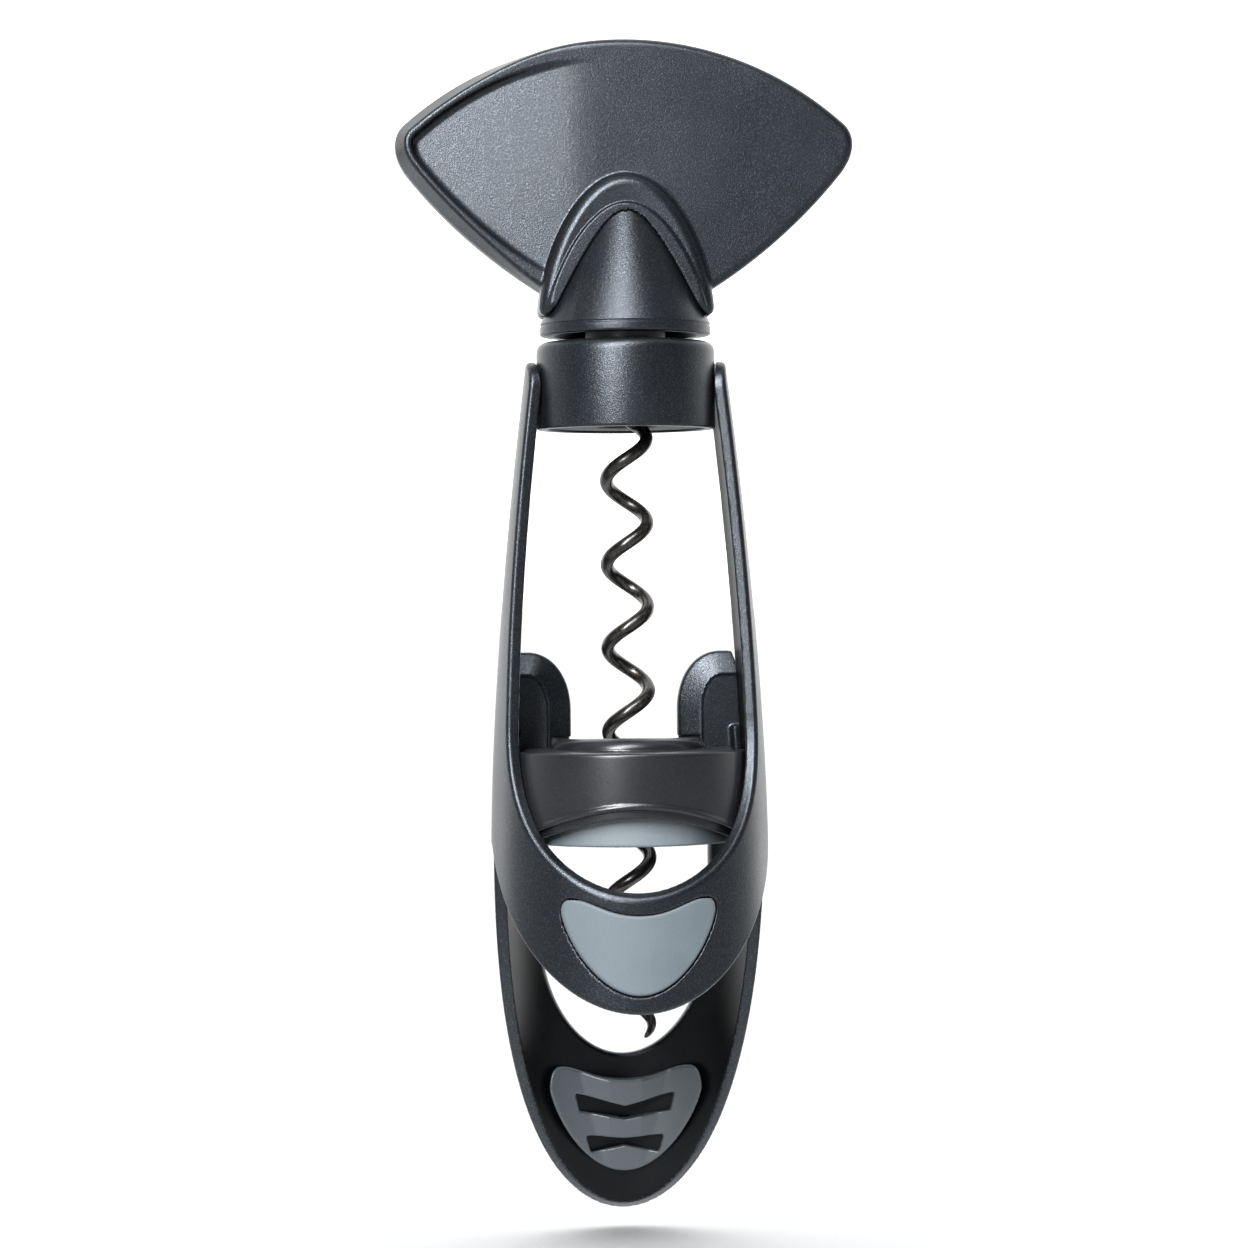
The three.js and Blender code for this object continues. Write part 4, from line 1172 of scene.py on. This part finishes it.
@dataclass(frozen=True)
class RingSizes:
    """Sizes of the guide ring and the light centring ring under it."""

    deck_top: float = 17.4
    deck_thickness: float = 2.2
    mouth_radius: float = 14.4
    mouth_wall: float = 1.8
    mouth_foot: float = 8.4
    hoop_drop: float = 0.5
    dome_radius: float = 14.2
    dome_land: float = 11.2
    dome_rise: float = 1.9
    dome_lean: float = 0.038
    throat_radius: float = 11.4
    throat_wall: float = 1.8
    skirt_wall: float = 2.0
    side_foot: float = 3.2
    arch_top: float = 7.6
    arch_half: float = 18.0
    band_step: float = 0.9
    band_drop: float = 1.7
    bead: float = 0.5
    pocket_front: float = 7.8
    rear_limit: float = 8.8
    side_radius: float = 19.09
    pin_root: float = 2.0
    boss_half: float = 3.6
    boss_foot: float = 4.5
    centring_foot: float = 0.8
    centring_radius: float = 18.9
    centring_flare: float = 2.0
    centring_flange: float = 3.4
    centring_front_rise: float = 2.2
    centring_wall: float = 2.2
    centring_step: tuple[float, float] = (4.2, 7.5)
    flange_edge: float = 0.6
    centring_edge: float = 0.4
    bead_fillet: float = 0.25
    side_edge: float = 0.4
    fillet: float = 0.5
    bore_edge: float = 0.45
    small_edge: float = 0.3
    fine_cell: float = 0.1
    edge: float = 0.55
    step: float = 0.32


class GuideRing(SubAssembly):
    """Dark ring across the frame with its arched skirt, and the light ring under it."""

    body = "body"
    make_sizes = RingSizes

    def draw(self) -> None:
        """Prepare the outlines of the arch, the dome and the bore."""
        s = self.sizes
        top = s.deck_top + s.dome_rise
        foot = s.deck_top - s.deck_thickness
        middle = s.deck_top - s.deck_thickness / 2
        self.arch = Outline(self._arch_points())
        self.dome = Outline([
            (-4, middle), (s.dome_radius, middle), (s.dome_radius, s.deck_top),
            *quadratic((s.dome_radius, s.deck_top), (s.dome_radius - 0.5, top), (s.dome_land, top)),
            (s.dome_land, top), (-4, top),
        ], s.fine_cell)
        self.bore = Outline([
            (-4, -8), (s.mouth_radius, -8), (s.mouth_radius, foot), (s.throat_radius, top - s.throat_wall),
            (s.throat_radius, top + 4), (-4, top + 4),
        ], s.fine_cell)

    def _arch_points(self) -> list[Point]:
        """Corners of the space under the skirt's arch, as (x, z).

        Returns:
            The points in order.
        """
        s = self.sizes
        far = BARREL.beyond
        peak = 2 * s.arch_top - s.side_foot
        return [
            (-far, -8.0), (-far, s.side_foot),
            *quadratic((-s.arch_half, s.side_foot), (0, peak), (s.arch_half, s.side_foot), 50),
            (s.arch_half, s.side_foot), (far, s.side_foot), (far, -8.0),
        ]

    def ring_field(self, x: np.ndarray, y: np.ndarray, z: np.ndarray) -> np.ndarray:
        """Signed distance to the guide ring.

        Args:
            x, y, z: places.

        Returns:
            The distance at each place.
        """
        s = self.sizes
        inset = BARREL.wall + BARREL.fit
        round_about = np.hypot(x, y)
        outer = BARREL.distance(x, y, z, inset)
        top = z - s.deck_top
        arch, inner = self.arch(x, z), -BARREL.distance(x, y, z, inset + s.skirt_wall)
        skirt = round_max(round_max(outer, top, s.edge), inner, s.small_edge)
        skirt = round_max(skirt, -arch, s.edge)
        band = np.maximum(BARREL.distance(x, y, z, inset + s.band_step), top)
        band = np.maximum(band, inner)
        band = round_max(band, -self.arch(x, z + s.band_drop), s.small_edge)
        bead = np.maximum(np.hypot(arch - s.bead, outer + s.bead / 2) - s.bead, y)
        skirt = round_min(skirt, bead, s.bead_fillet)
        deck = round_max(np.maximum(outer, s.deck_top - s.deck_thickness - z), top, s.edge)
        plate = np.minimum(np.minimum(skirt, band), deck)
        side_cut = np.maximum(-s.pocket_front - y, s.side_radius - round_about)
        bosses = np.maximum(np.abs(y) - s.boss_half, round_about - s.side_radius)
        bosses = np.maximum(bosses, np.maximum(s.boss_foot - z, z - s.deck_top + BARREL.fit))
        tube_room = s.mouth_radius + s.centring_wall + BARREL.fit - round_about
        bosses = np.maximum(bosses, np.where(z < s.mouth_foot, tube_room, -1))
        plate = round_max(plate, -side_cut, s.side_edge)
        plate = np.minimum(np.maximum(plate, y - s.rear_limit), bosses)
        hoop_radius = s.mouth_radius + s.mouth_wall
        hoop = np.maximum(round_about - hoop_radius, z - s.deck_top + s.hoop_drop)
        hoop = np.maximum(hoop, s.mouth_foot - z)
        tipped = z + s.dome_lean * y
        whole = round_min(round_min(plate, hoop, s.fillet), self.dome(round_about, tipped), s.small_edge)
        whole = round_max(whole, -self.bore(round_about, tipped), s.bore_edge)
        pins = BARREL.pin_holes(x, y, z, BARREL.seat_radius)
        pins = np.maximum(pins, s.side_radius - s.pin_root - np.abs(x))
        return np.maximum(whole, -pins)

    def centring_field(self, x: np.ndarray, y: np.ndarray, z: np.ndarray) -> np.ndarray:
        """Signed distance to the light centring ring, whose flange stands higher at the front.

        Args:
            x, y, z: places.

        Returns:
            The distance at each place.
        """
        s = self.sizes
        round_about = np.hypot(x, y)
        top = s.mouth_foot - BARREL.fit
        shelf = s.centring_foot + s.centring_flange + s.centring_front_rise * ease(*s.centring_step, -y)
        flange = round_max(round_about - s.centring_radius, z - shelf, s.flange_edge)
        tube = round_max(round_about - s.mouth_radius - s.centring_wall, z - top, s.small_edge)
        whole = round_max(round_min(flange, tube, s.centring_edge), s.centring_foot - z, s.centring_edge)
        flare = s.mouth_radius + s.centring_flare * np.clip((top - z) / (top - s.centring_foot), 0, 1)
        return round_max(whole, flare - round_about, s.centring_edge)

    def build(self) -> None:
        """Make both rings."""
        s = self.sizes
        ring = carve("guide_ring_deck", self.ring_field, (-22.4, -22.4, 1.2), (22.4, 16.4, 19.5), s.step)
        self.dress(ring, INNER, "charcoal_inner", "guide_ring")
        reach = s.centring_radius + 0.2
        light_ring = carve("centring_ring_light", self.centring_field,
                           (-reach, -reach, 0.6), (reach, reach, s.mouth_foot), s.step)
        self.dress(light_ring, PALE, "pale_ring", "centring_ring")


# ---- Collar ----

@dataclass(frozen=True)
class CollarSizes:
    """Sizes of the collar, its floor and the bush in it."""

    bottom: float = 75.0
    height: float = 15.7
    radius: float = 16.1
    corner: float = 2.1
    wall: float = 2.2
    roof: float = 2.4
    tube_inner: float = 7.5
    tube_wall: float = 1.8
    floor_thickness: float = 2.2
    floor_inset: float = 0.4
    floor_hole: float = 5.4
    bush_radius: float = 7.2
    bush_flange: float = 10.2
    bush_flange_height: float = 1.6
    bush_top: float = 95.0
    bush_bore: float = 4.5
    counterbore: float = 5.4
    counterbore_top: float = 86.0


class Collar(SubAssembly):
    """The round collar that the arms clasp, and its floor."""

    body = "body"
    make_sizes = CollarSizes

    def build(self) -> None:
        """Make the cap and the floor."""
        s = self.sizes
        top = s.bottom + s.height
        seat = s.bottom + s.floor_inset + s.floor_thickness + BARREL.fit
        skin = s.radius - s.wall
        roof = top - s.roof
        tube = s.tube_inner + s.tube_wall
        cap = lathe("collar_shell", rounded([
            (skin + 0.3, s.bottom, 0.25),
            (s.radius, s.bottom, 0.5),
            (s.radius, top, s.corner),
            (s.tube_inner, top, 0.35),
            (s.tube_inner, seat, 0.2),
            (tube, seat, 0.2),
            (tube, roof, 0.4),
            (skin - s.wall / 2, roof, 0.4),
            (skin - s.wall / 2, seat, 0.2),
            (skin + 0.3, seat, 0.2),
        ], 8), 160)
        self.dress(cap, PEARL, "charcoal_shell", "collar_cap")
        low = s.bottom + s.floor_inset
        floor = lathe("collar_floor_plate", rounded([
            (s.floor_hole, low, 0.5),
            (skin, low, 0.4),
            (skin, low + s.floor_thickness, 0.2),
            (s.floor_hole, low + s.floor_thickness, 0.3),
        ]), 128)
        self.dress(floor, DULL, "charcoal_inner", "collar_floor")


class Bush(SubAssembly):
    """The narrow neck that slides in the collar."""

    body = "lifting_bush"
    make_sizes = CollarSizes

    def build(self) -> None:
        """Make the bush."""
        s = self.sizes
        foot = s.bottom + s.floor_inset + s.floor_thickness + BARREL.fit
        flange = s.bush_top - s.bush_flange_height
        bush = lathe("guide_bush_neck", rounded([
            (s.counterbore, foot, 0.3),
            (s.bush_radius, foot, 0.4),
            (s.bush_radius, flange, 0.4),
            (s.bush_flange, flange, 0.3),
            (s.bush_flange, s.bush_top, 0.3),
            (s.bush_bore, s.bush_top, 0.3),
            (s.bush_bore, s.counterbore_top, 0.2),
            (s.counterbore, s.counterbore_top, 0.2),
        ]), 96)
        self.dress(bush, BEARING, "bush_plastic", "guide_bush")


# ---- Handle, hub and worm ----

@dataclass(frozen=True)
class HandleSizes:
    """Sizes of the wing, its arched sleeve and the hub cone."""

    top: float = 144.9
    crown_radius: float = 59.39
    tip_half: float = 41.6
    tip_height: float = 124.6
    tip_round: float = 4.8
    foot_half: float = 15.5
    foot_height: float = 100.0
    flank_bow: float = 1.9
    half_thickness: float = 5.0
    soft_edge: float = 1.4
    crisp_edge: float = 0.45
    draft: float = 1.75
    rim: float = 2.9
    draft_run: float = 34.0
    scoop_start: float = 8.6
    scoop_depth: float = 3.4
    scoop_fillet: float = 1.3
    crown: float = 0.5
    hood_depth: float = 7.0
    hood_crest: float = 6.75
    hood_dish: float = 6.5
    hood_round: float = 1.2
    hood_draft: float = 0.6
    hood_foot: float = 95.2
    hood_foot_round: float = 1.6
    hood_top: float = 120.8
    hood_half: float = 15.7
    rim_top: float = 115.4
    rim_half: float = 14.3
    hub_bottom: float = 91.9
    hub_radius: float = 15.4
    hub_band: float = 1.5
    hub_groove: float = 0.18
    hub_groove_height: float = 0.5
    hub_top: float = 115.0
    hub_top_radius: float = 6.0
    hub_inside: float = 96.7
    hub_mouth: tuple[float, float] = (11.0, 13.0)
    hub_room_slope: float = 1.1
    hood_shares: tuple[float, float, float] = (0.97, 0.33, 0.6)
    rim_shares: tuple[float, float, float] = (0.86, 0.42, 0.46)
    rim_step: tuple[float, float] = (-0.2, 0.3)
    scooped_side: tuple[float, float] = (2.0, 28.0)
    crown_run: float = 8.0
    draft_start: float = 0.9
    scoop_soften: float = 2.0
    scoop_lift: float = 0.6
    scoop_lift_run: float = 13.0
    scoop_start_gap: float = 0.02
    fillet: float = 0.35
    room_edge: float = 0.3
    parting: float = 0.15
    parting_edge: float = 0.2
    joint_gap: float = 0.01
    groove_depth: float = 1.8
    fine_cell: float = 0.1
    step: float = 0.32


class Handle(SubAssembly):
    """The two halves of the wing over the hub cone."""

    body = "turning_handle"
    make_sizes = HandleSizes

    def draw(self) -> None:
        """Prepare the outlines of the wing, the sleeve and the sleeve's rim."""
        s = self.sizes
        self.wing = Outline(self._wing_points())
        self.hood = Outline(self._arch_points(s.hood_half, s.hood_top, s.hood_shares), s.fine_cell)
        self.rim = Outline(self._arch_points(s.rim_half, s.rim_top, s.rim_shares), s.fine_cell)

    def _wing_points(self) -> list[Point]:
        """Corners of the wing's front outline, as (x, z).

        Returns:
            The points in order.
        """
        s = self.sizes
        centre = s.top - s.crown_radius
        crown_end = s.tip_half - s.tip_round * 0.55
        end_height = centre + math.sqrt(s.crown_radius**2 - crown_end**2)
        start = math.atan2(end_height - centre, crown_end)
        flank = (s.tip_half - s.tip_round * 0.5, s.tip_height - s.tip_round * 0.75)
        middle = (between(s.foot_half, flank[0], 0.5) + s.flank_bow,
                  between(s.foot_height, flank[1], 0.5) - s.flank_bow)
        left_tip = cubic(
            (-crown_end, end_height), (-s.tip_half, end_height - s.tip_round * 0.4),
            (-s.tip_half - s.tip_round * 0.12, s.tip_height + s.tip_round * 0.1), (-flank[0], flank[1]),
        )
        left = [*left_tip, *quadratic((-flank[0], flank[1]), (-middle[0], middle[1]),
                                      (-s.foot_half, s.foot_height), 40), (-s.foot_half, s.foot_height)]
        right = [(-u, v) for u, v in reversed(left[1:])]
        return [*arc((0, centre), s.crown_radius, start, math.pi - start, 120), *left[1:], *right]

    def _arch_points(self, half: float, top: float, shares: tuple[float, float, float]) -> list[Point]:
        """Corners of an arch that stands on the sleeve's foot, as (x, z).

        Args:
            half: half its width.
            top: its highest point.
            shares: how full its flank is, how high its flank bends and how wide its crown is.

        Returns:
            The points in order.
        """
        flank, rise_share, crown = shares
        s = self.sizes
        foot = s.hood_foot
        low = foot + s.hood_foot_round
        rise = between(low, top, rise_share)
        right = [
            *quadratic((half - s.hood_foot_round, foot), (half, foot), (half, low)),
            *cubic((half, low), (half * flank, rise), (half * crown, top), (0, top), 50),
        ]
        return [*right, (0, top), *[(-u, v) for u, v in reversed(right[1:])]]

    def hub_radius(self, z: np.ndarray) -> np.ndarray:
        """Radius of the hub cone's side.

        Args:
            z: heights.

        Returns:
            The radius at each height.
        """
        s = self.sizes
        foot = s.hub_bottom + s.hub_band + s.hub_groove_height
        return s.hub_radius + (s.hub_top_radius - s.hub_radius) * (z - foot) / (s.hub_top - foot)

    def front_field(self, x: np.ndarray, y: np.ndarray, z: np.ndarray) -> np.ndarray:
        """Signed distance to the handle's front half.

        Args:
            x, y, z: places.

        Returns:
            The distance at each place.
        """
        s = self.sizes
        wing = self.wing(x, z)
        scooped_side = ease(*s.scooped_side, -x)
        crown = s.crown * (x / s.tip_half) ** 2 * ease(0, s.crown_run, x)
        face = -y - s.half_thickness + crown
        soft = round_max(wing, face, s.soft_edge)
        draft = s.draft * ease(0, s.draft_run, -x)
        drafted = wing + draft * np.clip((-y - s.draft_start) / (s.half_thickness - s.draft_start), 0, 1)
        crisp = round_max(drafted, face, s.crisp_edge)
        blade = soft * (1 - scooped_side) + crisp * scooped_side
        tilt = s.scoop_depth / (s.tip_half - s.scoop_start)
        run = -x - s.scoop_start
        depth = tilt * (np.sqrt(run * run + s.scoop_soften**2) + run) / 2 - s.scoop_start_gap
        above_floor = (y + s.half_thickness - depth) / math.hypot(1, tilt)
        above_floor = above_floor + s.scoop_lift * ease(-s.scoop_lift_run, 0.0, x)
        scoop = round_max(wing + s.rim, above_floor, s.scoop_fillet)
        blade = round_max(blade, -scoop, s.crisp_edge)
        arch, rim = self.hood(x, z), self.rim(x, z)
        inward = np.clip(arch / np.minimum(arch - rim, -0.5), 0, 1)
        rise = between(s.hood_crest, s.hood_dish, inward)
        rise = rise + (s.hood_depth - s.hood_dish) * ease(*s.rim_step, -rim)
        hood = round_max(arch + s.hood_draft * np.maximum(-y - s.half_thickness, 0), -y - rise, s.hood_round)
        body = round_min(blade, hood, s.fillet)
        room = (np.hypot(x, y) - self.hub_radius(z) - BARREL.fit) / s.hub_room_slope
        room = np.maximum(room, z - s.hub_top - BARREL.fit)
        body = round_max(body, -room, s.room_edge)
        groove = ease(-s.groove_depth, -s.groove_depth / 2, np.minimum(wing, arch))
        return round_max(body, y + between(s.joint_gap, s.parting, groove), s.parting_edge)

    def build(self) -> None:
        """Make both halves of the wing and the hub cone."""
        s = self.sizes
        front = carve("wing_front", self.front_field, (-43.0, -7.2, 95.0), (43.0, -0.1, 145.2), s.step)
        self.dress(front, PEARL, "charcoal_shell", "handle_front")
        back = mesh_copy_turned(front, "wing_back")
        self.dress(back, PEARL, "charcoal_shell", "handle_back")
        band = s.hub_bottom + s.hub_band
        foot = band + s.hub_groove_height
        cone = lathe("hub_cone_shell", rounded([
            (0, s.hub_inside, 0),
            (s.hub_mouth[0], s.hub_inside, 0.4),
            (s.hub_mouth[1], s.hub_bottom, 0.3),
            (s.hub_radius, s.hub_bottom, 0.45),
            (s.hub_radius, band, 0.3),
            (s.hub_radius - s.hub_groove, band + 0.1, 0.15),
            (s.hub_radius - s.hub_groove, foot - 0.1, 0.15),
            (s.hub_radius, foot, 0.3),
            (s.hub_top_radius, s.hub_top, 1.2),
            (0, s.hub_top, 0),
        ], 8), 160)
        self.dress(cone, PEARL, "charcoal_shell", "hub_cone")


def mesh_copy_turned(piece: bpy.types.Object, name: str) -> bpy.types.Object:
    """Copy a piece and turn its mesh half a turn about the worm's axis.

    Args:
        piece: the piece to copy.
        name: the copy's name.

    Returns:
        The new object, without materials.
    """
    mesh = piece.data
    half_turn = np.array((-1, -1, 1))
    places = np.zeros(len(mesh.vertices) * 3)
    mesh.vertices.foreach_get("co", places)
    places = places.reshape(-1, 3) * half_turn / MM
    faces = [tuple(p.vertices) for p in mesh.polygons]
    corner = np.zeros(len(mesh.loops) * 3)
    mesh.corner_normals.foreach_get("vector", corner)
    owners = np.zeros(len(mesh.loops), np.int64)
    mesh.loops.foreach_get("vertex_index", owners)
    normals = np.zeros_like(places)
    normals[owners] = corner.reshape(-1, 3)
    copy = mesh_object(name, places, faces)
    copy.data.normals_split_custom_set_from_vertices((normals * half_turn).tolist())
    return copy


@dataclass(frozen=True)
class WormSizes:
    """Sizes of the worm."""

    wire: float = 1.2
    coil: float = 3.65
    pitch: float = 15.12
    tip: float = -34.5
    right_height: float = -32.3
    tip_length: float = 5.0
    tip_wire: float = 0.18
    bend_start: float = 75.0
    bend_length: float = 8.4
    shank: float = 11.0
    shank_rings: int = 7
    rings_a_turn: int = 64
    sides: int = 28


class Worm(SubAssembly):
    """The coated helix."""

    body = "turning_handle"
    make_sizes = WormSizes

    def build(self) -> None:
        """Sweep the wire along its helix and into a straight shank."""
        s = self.sizes
        end = s.bend_start + s.bend_length
        count = int((end - s.tip) / s.pitch * s.rings_a_turn)
        heights = np.linspace(s.tip, end, count)
        radii = s.coil * (1 - ease(s.bend_start, end, heights))
        wires = between(s.tip_wire, s.wire, np.sqrt(np.clip((heights - s.tip) / s.tip_length, 0, 1)))
        heights = np.append(heights, np.linspace(end, end + s.shank, s.shank_rings + 1)[1:])
        radii = np.append(radii, np.zeros(s.shank_rings))
        wires = np.append(wires, np.full(s.shank_rings, s.wire))
        turns = 2 * math.pi * (heights - s.right_height) / s.pitch
        centres = np.stack([radii * np.cos(turns), radii * np.sin(turns), heights], 1)
        runs = np.gradient(centres, axis=0)
        runs /= np.linalg.norm(runs, axis=1, keepdims=True)
        across = np.array((1.0, 0.0, 0.0))
        around = np.linspace(0, 2 * math.pi, s.sides, endpoint=False)
        vertices = []
        for centre, run, wire in zip(centres, runs, wires):
            across = across - (across @ run) * run
            across /= np.linalg.norm(across)
            up = np.cross(run, across)
            vertices.extend(centre + wire * (math.cos(t) * across + math.sin(t) * up) for t in around)
        rings = len(centres)
        faces = []
        for ring in range(rings - 1):
            for side in range(s.sides):
                a, b = ring * s.sides + side, ring * s.sides + (side + 1) % s.sides
                faces.append((a, b, b + s.sides, a + s.sides))
        faces.append(tuple(reversed(range(s.sides))))
        faces.append(tuple(range((rings - 1) * s.sides, rings * s.sides)))
        worm = mesh_object("worm_wire", np.array(vertices), faces)
        self.dress(worm, COATING, "worm_coating", "worm")


# ---- Carried-over nodes, stage, light and camera ----

STEEL_NODES = ("left_hinge_pin", "right_hinge_pin", "thrust_washer", "spindle", "spindle_clip", "cross_pin")


def finish_nodes(shop: MaterialShop) -> None:
    """Give the model's own steel pieces their finish.

    Args:
        shop: where finishes come from.
    """
    for name in STEEL_NODES:
        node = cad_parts[name]
        node.data.materials.clear()
        node.data.materials.append(shop.get(STEEL, worn_edges=False))


@dataclass(frozen=True)
class Studio:
    """Camera, floor and light. Lengths in millimetres, angles in degrees."""

    distance: float = 650.0
    azimuth: float = -4.0
    eye_height: float = 44.8
    aim_shift: float = 0.06
    pitch: float = -0.43
    roll: float = -0.516
    lens: float = 103.8
    sensor: float = 36.0
    floor_height: float = -73.0
    floor_half: float = 30000.0
    world_front: float = 0.05
    world_back: float = 1.9
    world_above: float = 0.8
    back_fade: Point = (-0.35, 0.5)
    above_fade: Point = (0.65, 0.9)


@dataclass(frozen=True)
class Softbox:
    """One area light, aimed at a point on the worm's axis."""

    name: str
    azimuth: float
    height: float
    distance: float
    width: float
    tall: float
    power: float
    aim: float


SOFTBOXES = (
    Softbox("key", -22.0, 400.0, 700.0, 210.0, 480.0, 20.0, 60.0),
    Softbox("front", -5.0, 640.0, 520.0, 240.0, 200.0, 6.0, 80.0),
    Softbox("left", -128.0, 20.0, 230.0, 90.0, 120.0, 0.05, 20.0),
    Softbox("below", 0.0, -72.8, 0.0, 170.0, 170.0, 0.12, 0.0),
    Softbox("right", 128.0, 20.0, 230.0, 90.0, 120.0, 0.05, 20.0),
)


def about_axis(azimuth: float, distance: float, height: float) -> Vector:
    """Give a place about the worm's axis in metres.

    Args:
        azimuth: degrees to the right of the front.
        distance: how far from the axis.
        height: how far up.

    Returns:
        The place.
    """
    turn = math.radians(azimuth)
    return Vector((distance * math.sin(turn), -distance * math.cos(turn), height)) * MM


def build_studio(studio: Studio) -> None:
    """Make the floor, the world, the lights and the camera.

    Args:
        studio: their sizes.
    """
    scene = bpy.context.scene
    scene.view_settings.view_transform = "Standard"
    half = studio.floor_half
    corners = np.array([(-half, -half), (half, -half), (half, half), (-half, half)])
    corners = np.column_stack([corners, np.full(4, studio.floor_height)])
    floor = mesh_object("studio_floor", corners, [(0, 1, 2, 3)])
    paper = bpy.data.materials.new("white_paper")
    paper.use_nodes = True
    shader = paper.node_tree.nodes["Principled BSDF"]
    shader.inputs["Base Color"].default_value = linear("#f4f5f6")
    shader.inputs["Roughness"].default_value = 0.9
    shader.inputs["Specular IOR Level"].default_value = 0.1
    floor.data.materials.append(paper)

    world = bpy.data.worlds.new("studio_world")
    scene.world = world
    world.use_nodes = True
    tree = world.node_tree
    tree.nodes.clear()
    direction = add_node(tree, "ShaderNodeTexCoord").outputs["Generated"]
    parts = add_node(tree, "ShaderNodeSeparateXYZ", None, {"Vector": direction})
    around = add_node(tree, "ShaderNodeMapRange", {"interpolation_type": "SMOOTHSTEP"},
                      {"Value": parts.outputs["Y"],
                       "From Min": studio.back_fade[0], "From Max": studio.back_fade[1],
                       "To Min": studio.world_front, "To Max": studio.world_back}).outputs["Result"]
    above = add_node(tree, "ShaderNodeMapRange", {"interpolation_type": "SMOOTHSTEP"},
                     {"Value": parts.outputs["Z"],
                      "From Min": studio.above_fade[0], "From Max": studio.above_fade[1],
                      "To Min": 0.0, "To Max": studio.world_above}).outputs["Result"]
    level = add_node(tree, "ShaderNodeMath", {"operation": "ADD"}, {0: around, 1: above}).outputs["Value"]
    sky = add_node(tree, "ShaderNodeBackground", None, {"Color": linear("#ffffff"), "Strength": level})
    add_node(tree, "ShaderNodeOutputWorld", None, {"Surface": sky.outputs["Background"]})

    dressed = bpy.data.collections.new("lit_by_softboxes")
    dressed.objects.link(floor)
    dressed.collection_objects[0].light_linking.link_state = "EXCLUDE"
    for box in SOFTBOXES:
        light = bpy.data.lights.new(box.name, "AREA")
        light.shape = "RECTANGLE"
        light.size, light.size_y = box.width * MM, box.tall * MM
        light.energy = box.power
        lamp = bpy.data.objects.new(box.name, light)
        lamp.location = about_axis(box.azimuth, box.distance, box.height)
        look = about_axis(0.0, 0.0, box.aim) - lamp.location
        lamp.rotation_euler = look.to_track_quat("-Z", "Y").to_euler()
        lamp.light_linking.receiver_collection = dressed
        scene.collection.objects.link(lamp)

    camera = bpy.data.objects.new("camera", bpy.data.cameras.new("camera"))
    camera.data.lens = studio.lens
    camera.data.sensor_width = studio.sensor
    camera.location = about_axis(studio.azimuth, studio.distance, studio.eye_height)
    heading = -math.radians(studio.azimuth) - math.radians(studio.aim_shift)
    look = Vector((math.sin(heading), math.cos(heading), math.tan(math.radians(studio.pitch))))
    rotation = look.to_track_quat("-Z", "Y") @ Quaternion((0, 0, 1), math.radians(studio.roll))
    camera.rotation_euler = rotation.to_euler()
    scene.collection.objects.link(camera)
    scene.camera = camera


def main() -> None:
    """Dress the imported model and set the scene."""
    logging.basicConfig(level=logging.INFO, format="%(name)s %(message)s")
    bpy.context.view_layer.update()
    shop = MaterialShop()
    build_studio(Studio())
    for kind in (Frame, RearJaw, GuideRing, Collar, Bush, Handle, Worm):
        kind(shop).build()
        log.info("%s done", kind.__name__)
    finish_nodes(shop)


if __name__ == "__main__":
    main()
